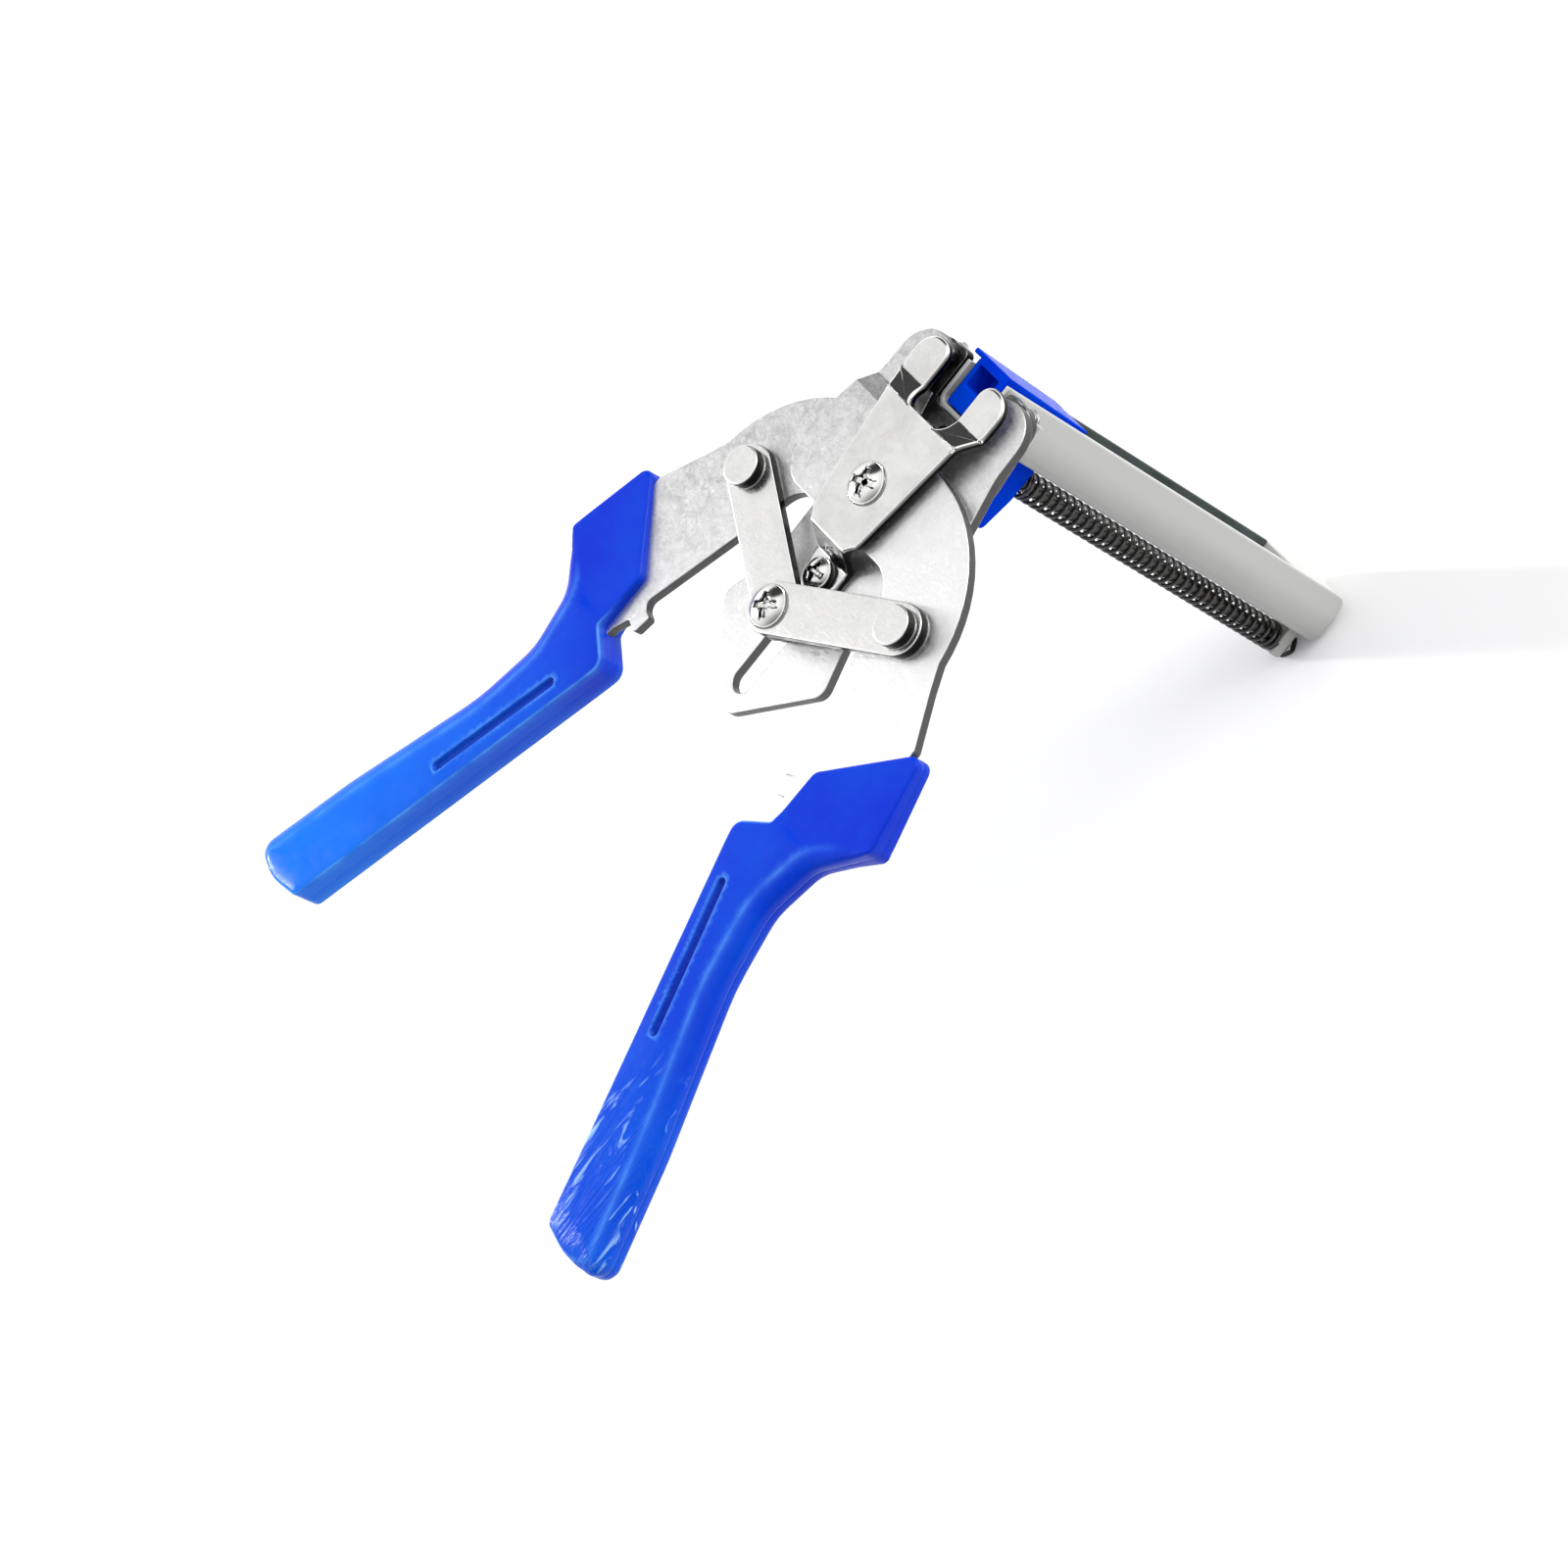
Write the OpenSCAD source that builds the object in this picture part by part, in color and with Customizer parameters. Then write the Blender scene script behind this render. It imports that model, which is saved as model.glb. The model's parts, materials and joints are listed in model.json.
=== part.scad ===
// Magazine-fed hog ring pliers: two crossed handles swing on one pivot, two
// links tie them to a pin in the tail slot, and a sprung follower feeds clips
// up a trough behind the head. +X is the right handle's side, +Y points out
// through the jaws, +Z is the pivot axis towards the front cover. The origin
// is the middle of the jaw mouth, on the joint face between the crossed plates.

/* [Linkage] */
// Distance from the main pivot to a link rivet, and from there to the slot pin
link_length = 32.8; // [32:0.1:33.6]
// Angle between the tail and the line to a link rivet, handles open
open_half_angle = 62.4; // [61:0.1:64]
// Angle that each handle closes by
handle_swing = 15; // [12:0.5:15]
// Distance from the main pivot to the middle of the jaw mouth
mouth_reach = 27; // [25:0.5:28]

/* [Plates] */
// Height of one plate layer, with its share of the gap
layer_pitch = 2.5; // [2.3:0.1:2.6]
// Gap between neighbouring plate layers
layer_gap = 0.1; // [0.06:0.02:0.2]
// Width of a link
link_width = 10.8; // [9:0.2:11]
// Width of the slot in the tail
slot_width = 5.2; // [5.2:0.1:5.6]

/* [Front cover] */
// Thickness of the front cover's sheet
cover_t = 1.6; // [1.4:0.1:1.6]
// Height of the cover's front face above the joint face
cover_top = 5; // [5:0.1:5.4]
// Drop of the two prongs below the cover's front face
prong_drop = 2; // [1.4:0.1:2]
// Width of the notch between the prongs
notch_width = 11.6; // [10.8:0.2:12]

/* [Fasteners] */
// Diameter of the main pivot screw
pivot_d = 5; // [4.5:0.1:5.5]
// Diameter of a rivet's shank
rivet_d = 4.6; // [4:0.1:5]
// Diameter of a link rivet's head
rivet_head_d = 8.4; // [7.6:0.2:9]
// Diameter of the slot screw's shank
slot_screw_d = 5; // [4.6:0.1:5]
// Diameter of the tab screw's shank
tab_screw_d = 3; // [2.6:0.1:3.2]
// Gap round a shank that turns, on the radius
running_fit = 0.05; // [0.03:0.01:0.08]

/* [Magazine] */
// Outside width of the trough
trough_width = 13; // [12.6:0.1:13.4]
// Depth of the trough, outside its right wall
trough_depth = 11.6; // [11:0.1:12]
// Distance of the trough's far end behind the joint face
trough_end = 126; // [118:1:128]
// Thickness of the trough's sheet
trough_t = 1; // [0.8:0.1:1]
// Travel of the follower
follower_travel = 55; // [48:1:55]
// Outside diameter of the feed spring
spring_d = 6.4; // [6:0.1:6.6]
// Diameter of the rod inside the feed spring
rod_d = 3; // [2.6:0.1:3.4]

/* [Grips] */
// Thickness of a grip
grip_t = 8.6; // [8:0.2:10]
// Thickness of a grip's collar at its top end
collar_t = 4.4; // [4.2:0.2:5]

/* [Hidden] */
$fn = 64;
eps = 0.01;
through = 150;
press = 0.02;
plate_t = layer_pitch - layer_gap;

// Bottom faces of the plate layers, from the rear plate to the right link
rear_z = -2 * layer_pitch + layer_gap / 2;
left_z = -layer_pitch + layer_gap / 2;
right_z = layer_gap / 2;
link_z = layer_pitch + layer_gap / 2;

// Pivots of the open linkage, seen from the main pivot
rivet_at = link_length * [sin(open_half_angle), -cos(open_half_angle)];
slot_pin_y = 2 * rivet_at.y;
closed_pin_y = -2 * link_length * cos(open_half_angle - handle_swing);
tab_screw_y = -20;

// Room past the slot pin at the top and the bottom of its run
slot_spare = [0.5, 1.2];

// Pan head: width, height
pivot_head = [9.2, 1.9];
slot_head = [9.2, 1.9];
tab_head = [7, 2.4];
rivet_head_h = 2.6;
tail_head_h = 1.2;
nut_h = 3.2;
washer_t = 0.8;

// Trough: floor and walls, seen along the magazine
floor_y = 19.6;
trough_top = floor_y + trough_depth;
left_wall_drop = 1.4;
inner_half = trough_width / 2 - trough_t;
floor_slot_w = 5;
rail_t = 0.9;
rail_top = trough_top;
block_length = 19;
slide_gap = 0.3;
rod_y = floor_y - spring_d / 2 - 0.8;
tongue_w = 4.4;
tongue_back = -28.5;
follower_front = rear_z + plate_t - 0.15;
follower_back = -30;
follower_top = 32.6;
follower_corner = 1;
lug_front = -trough_end + 4;
ear_reach = 16.8;
ear_z = rear_z - layer_gap / 2;

function unit(v) = v / norm(v);
function heading(v) = atan2(v.y, v.x);
function turned(p, a) = [p.x * cos(a) - p.y * sin(a), p.x * sin(a) + p.y * cos(a)];
function arc(centre, r, a0, a1, steps) =
    [for (i = [0:steps]) let (a = a0 + (a1 - a0) * i / steps) centre + r * [cos(a), sin(a)]];

// Arc that rounds the corner b of the path a-b-c to radius r
function corner_arc(a, b, c, r) =
    let (u = unit(a - b), v = unit(c - b), half = acos(u * v) / 2,
         centre = b + unit(u + v) * r / sin(half),
         a0 = heading(b + u * r / tan(half) - centre),
         a1 = heading(b + v * r / tan(half) - centre),
         sweep = a1 - a0 - 360 * round((a1 - a0) / 360))
    arc(centre, r, a0, a0 + sweep, max(2, ceil(abs(sweep) / 12)));

// Outline whose corners [x, y, r] are rounded where r is given
function rounded(path) =
    let (n = len(path))
    [for (i = [0:n - 1])
        let (b = path[i], a = path[(i + n - 1) % n], c = path[(i + 1) % n])
        each (len(b) > 2 ? corner_arc([a.x, a.y], [b.x, b.y], [c.x, c.y], b.z) : [[b.x, b.y]])];

// Path with its mirror image added, for an outline that is even about X = 0
function both_sides(path) =
    concat(path, [for (i = [len(path) - 1:-1:0]) let (p = path[i])
        len(p) > 2 ? [-p.x, p.y, p.z] : [-p.x, p.y]]);

// Puts what is drawn round the main pivot into the part's frame
module in_frame() translate([0, -mouth_reach, 0]) children();

module at_z(z) translate([0, 0, z]) children();

module bore(x, y, d) translate([x, y, -through]) cylinder(d = d, h = 2 * through);

// Block whose outline is drawn in the Y-Z plane, from x0 to x1
module side_profile(x0, x1, points)
    translate([x0, 0, 0]) rotate([90, 0, 90]) linear_extrude(x1 - x0) polygon(points);

// Screw head with a domed rim and a cross recess, standing on z = 0
module pan_head(size) {
    rim = size[1] * 0.45;
    difference() {
        rotate_extrude() polygon(concat([[0, 0], [size[0] / 2, 0]],
            arc([size[0] / 2 - size[1] + rim, rim], size[1] - rim, 0, 90, 6), [[0, size[1]]]));
        for (a = [0, 90]) rotate(a + 20) at_z(size[1] - 1 + size[1])
            cube([size[0] * 0.55, size[0] * 0.13, 2 * size[1]], center = true);
    }
}

module hex_nut(across, bore_d, h) difference() {
    cylinder(d = across / cos(30), h = h, $fn = 6);
    bore(0, 0, bore_d);
}

module ring(outer, inner, h) difference() {
    cylinder(d = outer, h = h);
    bore(0, 0, inner);
}

// Front cover: the sheet seen from the front and from its right side
cover_plan = rounded(both_sides([
    [notch_width / 2, 16.6, 2.6], [notch_width / 2, 30, 3.2], [14.6, 30, 4.6], [14.4, 20.8, 6],
    [12.1, 16.4, 8], [8.4, -9.8, 3], [5.6, -13.2, 2], [5.2, -24.8, 5]]));

module front_cover() color("gainsboro") in_frame() {
    flat_z = cover_top - cover_t;
    tab_z = rear_z + plate_t;
    step_in = cover_t * 0.25;
    bend = cover_t * 0.9;
    difference() {
        intersection() {
            at_z(-10) linear_extrude(20) polygon(cover_plan);
            side_profile(-20, 20, [
                [35, cover_top - prong_drop], [20.6, cover_top - prong_drop], [16.6, cover_top],
                [-12.6, cover_top], [-16.2, tab_z + cover_t], [-30, tab_z + cover_t], [-30, tab_z],
                [-16.2 + bend * 0.6, tab_z], [-12.6 + bend * 0.65, flat_z],
                [16.6 - step_in, flat_z], [20.6 - step_in, flat_z - prong_drop], [35, flat_z - prong_drop]]);
        }
        bore(0, 0, pivot_d + 2 * press);
        bore(0, tab_screw_y, tab_screw_d + 2 * press);
    }
}

// Rear plate: two humps beside the trough, a waist and a pointed tail
rear_plan = rounded(both_sides([
    [trough_width / 2 + 0.6, floor_y - 0.1, 1.5], [trough_width / 2 + 0.6, 30.9, 1.5], [16.8, 30.2, 4.5],
    [19, 14, 8], [14.6, -3, 10], [14.4, -25, 8], [18.4, -36.5, 3], [2.4, -52.4, 3]]));

module rear_plate() color("silver") in_frame() difference() {
    at_z(rear_z) linear_extrude(plate_t) polygon(rear_plan);
    bore(0, 0, pivot_d + 2 * press);
    bore(0, tab_screw_y, tab_screw_d + 2 * press);
    bore(0, rod_y, rod_d + 2 * press);
    slot_ends = [closed_pin_y - slot_spare[1], slot_pin_y + slot_spare[0]];
    for (y = slot_ends) bore(0, y, slot_width);
    slot_flat = slot_width - eps;
    translate([-slot_flat / 2, slot_ends[0], -through])
        cube([slot_flat, slot_ends[1] - slot_ends[0], 2 * through]);
    magazine_rivet_spots() bore(0, 0, magazine_rivet_d + 2 * press);
}

module pivot_screw() color("whitesmoke") in_frame() {
    at_z(cover_top) pan_head(pivot_head);
    at_z(rear_z - washer_t - nut_h - 0.8)
        cylinder(d = pivot_d, h = cover_top + eps - rear_z + washer_t + nut_h + 0.8);
}

module pivot_washer() color("silver") in_frame()
    at_z(right_z + plate_t + layer_gap / 2)
        ring(12, pivot_d + 2 * press, cover_top - cover_t - layer_pitch);

module pivot_nut() color("whitesmoke") in_frame() {
    at_z(rear_z - washer_t) ring(10.5, pivot_d + 2 * press, washer_t);
    at_z(rear_z - washer_t - nut_h) hex_nut(8, pivot_d + 2 * press, nut_h);
}

module tab_screw() color("whitesmoke") in_frame() translate([0, tab_screw_y, 0]) {
    at_z(rear_z + plate_t + cover_t) pan_head(tab_head);
    at_z(rear_z - 3) cylinder(d = tab_screw_d, h = plate_t + cover_t + 3 + eps);
}

module tab_nut() color("whitesmoke") in_frame() translate([0, tab_screw_y, rear_z - 2.4])
    hex_nut(5.5, tab_screw_d + 2 * press, 2.4);

// Handle plate, right-hand: the hub carries the left jaw, and the tang runs
// down inside the grip
jaw_gap = 0.4;
jaw_top = 30.4;
hub_top = 11.7;
tang_inner = [[33.4, -57.5], [35.2, -76, 20], [39.2, -90, 20], [54.6, -130.5, 1.5]];
tang_outer = [[60.2, -128.4, 1.5], [43.2, -88, 20], [40.6, -76, 15], [43.2, -62, 10], [50.6, -50, 3]];
lug = [[30.9, -49.4, 2], [27.4, -50.6, 0.8], [28.2, -55, 0.8], [31.4, -53.8, 0.6]];

handle_plan = let (jaw_low = turned([-jaw_gap, hub_top], handle_swing),
                   jaw_high = turned([-jaw_gap, jaw_top], handle_swing))
    rounded(concat(
        [[jaw_low.x, jaw_low.y], [jaw_high.x, jaw_high.y, 1.2], [-19.9, 32.3, 7], [-20.3, 17, 12],
         [-24, 2, 12], [-22.4, -10.6, 6.5], [17.2, -9.9, 7], [22.4, -26, 20]],
        lug, tang_inner, tang_outer, [[48.9, -29.6], [42.7, -19.5, 8]],
        arc([10, -20], 30.6, 10, 90, 14)));

module handle_plate_solid() difference() {
    at_z(-10) linear_extrude(20) polygon(handle_plan);
    bore(0, 0, pivot_d + 2 * running_fit);
    bore(rivet_at.x, rivet_at.y, rivet_d + 2 * press);
    translate(turned([-jaw_gap, 25], handle_swing)) bore(0, 0, 7);
}

// The right plate lies above the left one and steps down a layer at its jaw,
// so that the two jaws meet in one plane
module handle_plate_right() color("lightgray") in_frame() intersection() {
    handle_plate_solid();
    side_profile(-40, 80, [
        [-160, right_z], [12.5, right_z], [16, left_z], [40, left_z],
        [40, left_z + plate_t], [16, left_z + plate_t], [12.5, right_z + plate_t],
        [-160, right_z + plate_t]]);
}

module handle_plate_left() color("lightgray") in_frame() mirror([1, 0, 0]) intersection() {
    handle_plate_solid();
    translate([-100, -200, left_z]) cube([200, 300, plate_t]);
}

// Grip outline: a collar, a thumb bump on the inner edge and a flared end
grip_plan = rounded([
    [52, -28.2, 2], [34.4, -45.9, 2.5], [34.6, -58.4, 1], [27.2, -63.4, 3], [28.6, -68, 6],
    [54, -143.2, 2], [62, -144.6, 20], [71.8, -143.6, 3.5], [63, -119, 80], [49.4, -87, 40],
    [46, -71.5, 14], [48.2, -59.5, 9], [57.8, -48.6, 2.2]]);

// Grip for the right-hand plate, whose mid-plane is at mid_z
module grip_solid(mid_z) {
    half = grip_t / 2;
    collar = collar_t / 2;
    side = [[-160, half], [-50, half], [-27, collar], [-27, -collar], [-50, -half], [-160, -half]];
    difference() {
        intersection() {
            at_z(mid_z - half) linear_extrude(grip_t) polygon(grip_plan);
            side_profile(0, 100, [for (p = side) [p.x, mid_z + p.y]]);
        }
        at_z(mid_z - plate_t / 2 - press) linear_extrude(plate_t + 2 * press) offset(delta = press)
            polygon(handle_plan);
    }
}

module grip_right() color("royalblue") in_frame() grip_solid(right_z + plate_t / 2);

module grip_left() color("dodgerblue") in_frame() mirror([1, 0, 0]) grip_solid(left_z + plate_t / 2);

// Link from a rivet on the right to the slot pin
module link_bar(rivet_bore, pin_bore) difference() {
    linear_extrude(plate_t) polygon(concat(
        arc(rivet_at, link_width / 2, -open_half_angle, 180 - open_half_angle, 16),
        arc([0, slot_pin_y], link_width / 2, 180 - open_half_angle, 360 - open_half_angle, 16)));
    bore(rivet_at.x, rivet_at.y, rivet_bore);
    bore(0, slot_pin_y, pin_bore);
}

module link_right() color("whitesmoke") in_frame() at_z(link_z)
    link_bar(rivet_d + 2 * running_fit, slot_screw_d + 2 * press);

module link_left() color("whitesmoke") in_frame() at_z(right_z) mirror([1, 0, 0])
    link_bar(rivet_d + 2 * running_fit, slot_screw_d + 4 * running_fit);

// Rivet through a handle plate and the link above it
module link_rivet(side, plate_z) translate([side * rivet_at.x, rivet_at.y, 0]) {
    top = plate_z + layer_pitch + plate_t;
    at_z(top + layer_gap / 2) cylinder(d = rivet_head_d, h = rivet_head_h);
    at_z(plate_z - eps) cylinder(d = rivet_d, h = top + layer_gap / 2 - plate_z + 2 * eps);
    at_z(plate_z - tail_head_h) cylinder(d = rivet_head_d - 1.4, h = tail_head_h);
}

module link_rivet_right() color("gainsboro") in_frame() link_rivet(1, right_z);

module link_rivet_left() color("gainsboro") in_frame() link_rivet(-1, left_z);

// Slot pin: a screw down through both links, a spacer and the slot
module slot_screw() color("whitesmoke") in_frame() translate([0, slot_pin_y, 0]) {
    at_z(link_z + plate_t) pan_head(slot_head);
    bottom = rear_z - washer_t - nut_h - 0.8;
    at_z(bottom) cylinder(d = slot_screw_d, h = link_z + plate_t + eps - bottom);
}

module slot_spacer() color("silver") in_frame() translate([0, slot_pin_y, left_z])
    ring(9.6, slot_screw_d + 2 * press, plate_t);

module slot_washer() color("silver") in_frame() translate([0, slot_pin_y, rear_z - layer_gap - washer_t])
    ring(9.6, slot_screw_d + 2 * press, washer_t);

module slot_nut() color("whitesmoke") in_frame()
    translate([0, slot_pin_y, rear_z - layer_gap - washer_t - nut_h])
        hex_nut(7, slot_screw_d + 2 * press, nut_h);

// Trough: folded sheet seen along the magazine, the left wall a little lower
magazine_rivet_d = 3;
ear_rivet_x = 12.4;
trough_outline = rounded([
    [-trough_width / 2, trough_top - left_wall_drop], [-trough_width / 2, floor_y, 2.4],
    [trough_width / 2, floor_y, 2.4], [trough_width / 2, trough_top],
    [inner_half, trough_top], [inner_half, floor_y + trough_t, 1.4],
    [-inner_half, floor_y + trough_t, 1.4], [-inner_half, trough_top - left_wall_drop]]);

module magazine_rivet_spots()
    for (x = [-ear_rivet_x, ear_rivet_x], y = [23.6, 28.8]) translate([x, y, 0]) children();

// The trough's right wall and the end block share this rounded far end
module far_end_limit() side_profile(-20, 20, rounded([
    [10, 0], [10, -trough_end - 1], [floor_y, -trough_end, 3.5], [trough_top, -trough_end, 3],
    [trough_top, 0]]));

// Cut through the trough's floor, from z0 to z1
module floor_slot(z0, z1) translate([-floor_slot_w / 2, floor_y - 1, z0])
    cube([floor_slot_w, trough_t + 1.2, z1 - z0]);

module magazine_trough() color("lightgray") in_frame() {
    difference() {
        intersection() {
            at_z(-trough_end) linear_extrude(trough_end + rear_z + plate_t) polygon(trough_outline);
            far_end_limit();
        }
        floor_slot(tongue_back - follower_travel - 2, -12);
        floor_slot(-trough_end - 1, lug_front + 0.5);
    }
    difference() {
        for (s = [-1, 1]) translate([s > 0 ? inner_half + eps : -ear_reach, 22, ear_z - trough_t])
            cube([ear_reach - inner_half - eps, 8.2 - left_wall_drop * 0.5, trough_t]);
        magazine_rivet_spots() bore(0, 0, magazine_rivet_d + 2 * press);
    }
}

module magazine_rivets() color("gainsboro") in_frame() magazine_rivet_spots() {
    at_z(ear_z - trough_t - 1.1) cylinder(d1 = 3.6, d2 = 4.8, h = 1.1);
    at_z(ear_z - trough_t - eps) cylinder(d = magazine_rivet_d, h = trough_t + plate_t + eps);
}

module nail_rail() color("darkslategray") in_frame()
    translate([-inner_half, floor_y + trough_t + 1.4, -trough_end + block_length + 0.1])
        cube([rail_t, rail_top - floor_y - trough_t - 1.4, trough_end - block_length - 4]);

// Block that closes the trough's far end, with a lug below for the rod
block_pin_y = floor_y + trough_depth * 0.55;

module end_block() color("lightgray") in_frame() difference() {
    union() {
        intersection() {
            translate([-inner_half + press, floor_y + trough_t + press, -trough_end])
                cube([2 * inner_half - 2 * press, trough_top - floor_y, block_length]);
            far_end_limit();
            at_z(-2 * trough_end) linear_extrude(2 * trough_end) polygon(rounded([
                [-inner_half + press, trough_top], [-inner_half + press, floor_y + trough_t + press, 1.5],
                [inner_half - press, floor_y + trough_t + press, 1.5], [inner_half - press, trough_top]]));
        }
        translate([-floor_slot_w / 2 + 0.1, rod_y - 3, -trough_end + 0.4])
            cube([floor_slot_w - 0.2, floor_y + trough_t + 1 - rod_y + 3, lug_front + trough_end - 0.4]);
    }
    bore(0, rod_y, rod_d + 2 * press);
    translate([0, block_pin_y, -trough_end + block_length / 2]) rotate([0, 90, 0])
        bore(0, 0, 2.5 + 2 * press);
}

module end_block_pin() color("gainsboro") in_frame()
    translate([-inner_half + 0.1, block_pin_y, -trough_end + block_length / 2]) rotate([0, 90, 0])
        cylinder(d = 2.5, h = 2 * inner_half - 0.2);

module guide_rod() color("dimgray") in_frame() translate([0, rod_y, -trough_end - 2])
    cylinder(d = rod_d, h = trough_end + 2 + rear_z + plate_t);

module rod_nut() color("whitesmoke") in_frame() translate([0, rod_y, -trough_end - 1.6])
    hex_nut(5.2, rod_d + 2 * press, 2);

// Follower: a block in the trough with a pocket in its face, and a tongue that
// hangs through the floor slot in front of the spring
module follower() color("blue") in_frame() {
    low = floor_y + trough_t + slide_gap;
    cap_low = rail_top + slide_gap;
    left = -inner_half + rail_t + slide_gap;
    right = inner_half - slide_gap;
    difference() {
        union() {
            side_profile(left, right, [
                [low, follower_front], [follower_top, follower_front], [cap_low + 0.3, follower_back],
                [low + 1.5, follower_back], [low, follower_back + 3]]);
            side_profile(-trough_width / 2 - 0.3, right, [
                [cap_low, follower_front], [follower_top, follower_front], [cap_low + 0.3, follower_back],
                [cap_low, follower_back]]);
            side_profile(-tongue_w / 2, tongue_w / 2, rounded([
                [low + 1, -15], [low + 1, tongue_back], [12, tongue_back, 4], [4, -27, 1.2], [4, -23.4, 1.2],
                [13, -18, 6], [18, -15, 4]]));
        }
        translate([-3.2, 25.7, follower_front - 6]) cube([6.4, 4.8, 7]);
        bore(0, rod_y, rod_d + 0.5);
        translate([right, low, follower_back - 1]) rotate([0, 0, 45])
            linear_extrude(follower_front - follower_back + 2)
                square(follower_corner * sqrt(2), center = true);
    }
}

// Feed spring: a plain sleeve with the coil's outside and inside diameters
module feed_spring() color("slategray") in_frame()
    translate([0, rod_y, lug_front + 0.05])
        ring(spring_d, spring_d - 1.7, tongue_back - lug_front - 0.1);

front_cover();
rear_plate();
pivot_screw();
pivot_washer();
pivot_nut();
tab_screw();
tab_nut();
handle_plate_right();
handle_plate_left();
grip_right();
grip_left();
link_right();
link_left();
link_rivet_right();
link_rivet_left();
slot_screw();
slot_spacer();
slot_washer();
slot_nut();
magazine_trough();
magazine_rivets();
nail_rail();
end_block();
end_block_pin();
guide_rod();
rod_nut();
follower();
feed_spring();
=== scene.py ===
import json
import math

import bmesh
import bpy
import numpy as np
from bpy.props import FloatProperty, FloatVectorProperty, IntProperty, PointerProperty
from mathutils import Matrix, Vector
from mathutils.geometry import delaunay_2d_cdt

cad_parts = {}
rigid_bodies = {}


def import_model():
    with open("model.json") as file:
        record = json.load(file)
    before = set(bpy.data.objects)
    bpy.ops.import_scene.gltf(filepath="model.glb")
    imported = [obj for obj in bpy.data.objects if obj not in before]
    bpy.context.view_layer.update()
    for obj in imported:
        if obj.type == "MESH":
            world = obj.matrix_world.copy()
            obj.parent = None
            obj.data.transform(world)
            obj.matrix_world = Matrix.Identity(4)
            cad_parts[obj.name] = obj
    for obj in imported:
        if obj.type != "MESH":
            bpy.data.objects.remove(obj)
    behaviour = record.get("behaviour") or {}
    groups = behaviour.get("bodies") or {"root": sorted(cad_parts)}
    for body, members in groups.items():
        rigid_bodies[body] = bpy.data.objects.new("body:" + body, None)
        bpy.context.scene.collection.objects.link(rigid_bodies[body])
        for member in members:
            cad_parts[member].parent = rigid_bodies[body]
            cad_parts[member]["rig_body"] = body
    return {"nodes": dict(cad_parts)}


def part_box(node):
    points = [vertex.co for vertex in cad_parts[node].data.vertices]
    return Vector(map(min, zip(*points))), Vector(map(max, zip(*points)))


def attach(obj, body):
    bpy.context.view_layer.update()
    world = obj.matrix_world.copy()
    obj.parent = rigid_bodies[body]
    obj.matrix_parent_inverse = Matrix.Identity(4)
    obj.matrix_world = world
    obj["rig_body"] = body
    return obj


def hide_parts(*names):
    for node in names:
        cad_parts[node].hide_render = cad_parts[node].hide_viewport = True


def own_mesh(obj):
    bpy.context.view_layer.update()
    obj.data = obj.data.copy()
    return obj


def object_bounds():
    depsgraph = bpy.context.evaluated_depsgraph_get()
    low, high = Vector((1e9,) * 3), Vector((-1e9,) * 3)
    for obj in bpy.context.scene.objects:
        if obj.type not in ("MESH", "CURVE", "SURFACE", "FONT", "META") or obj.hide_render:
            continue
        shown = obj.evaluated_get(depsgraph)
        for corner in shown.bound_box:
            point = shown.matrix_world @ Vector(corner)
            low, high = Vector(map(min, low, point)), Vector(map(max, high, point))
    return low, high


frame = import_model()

bl_info = {
    "name": "Hog ring pliers",
    "version": (1, 0, 0),
    "blender": (4, 5, 0),
    "location": "3D View > Sidebar > Pliers",
    "description": "Finished surfaces for magazine-fed hog ring pliers",
    "category": "Object",
}

MM = 0.001
CAD_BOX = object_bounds()
NODES = frame["nodes"]
BODY_OF = {n: o["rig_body"] for n, o in NODES.items()}
PIVOT_Y = -27.0  # the main pivot, in millimetres


def middle(node):
    lo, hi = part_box(node)
    return (lo + hi) / 2


# ---------------------------------------------------------------- settings

def colour_setting(name, description, colour):
    return FloatVectorProperty(name=name, description=description, subtype="COLOR", size=4,
                               min=0, max=1, default=(*colour, 1))


def length_setting(name, description, default, least, most):
    """A length, with its default and limits given in millimetres."""
    return FloatProperty(name=name, description=description, unit="LENGTH",
                         default=default * MM, min=least * MM, max=most * MM)


class PliersColours(bpy.types.PropertyGroup):
    plastic: colour_setting("Plastic", "Colour of the grips and the follower", (0.0, 0.027, 0.60))
    # The lighter plastic serves both the random mottle's lighter tone and the painted light towards the
    # grips' far ends
    plastic_mottled_and_lit: colour_setting(
        "Lighter plastic", "Colour of the plastic where it is thin", (0.0, 0.165, 0.85))
    zinc: colour_setting("Zinc", "Colour of the zinc-plated plates", (0.80, 0.80, 0.80))
    nickel: colour_setting("Nickel", "Colour of the bright nickel plate", (0.88, 0.875, 0.865))
    paint: colour_setting("Paint", "Colour of the trough's satin paint", (0.57, 0.575, 0.55))
    rail: colour_setting("Rail", "Colour of the dark rail", (0.045, 0.06, 0.058))
    steel: colour_setting(
        "Spring steel", "Colour of the oiled spring and rod", (0.10, 0.097, 0.094))


class PliersGrips(bpy.types.PropertyGroup):
    inner_edge: length_setting(
        "Inner edge", "Radius of the edge that faces the other grip", 0.75, 0.3, 1.5)
    outer_edge: length_setting(
        "Outer flank", "Width of the rounded flank that the fingers close on", 4.4, 1, 5)
    flank_drop: length_setting(
        "Flank drop", "How far the rounded flank falls towards the parting line", 2.9, 1, 3.5)
    groove_width: length_setting("Groove width", "Width of the long groove in each face", 2.3, 1, 3)
    groove_depth: length_setting(
        "Groove depth", "Depth of the long groove in each face", 1.1, 0.2, 1.5)
    seam_depth: length_setting("Seam depth", "Depth of the mould's parting line", 0.08, 0, 0.4)


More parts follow.
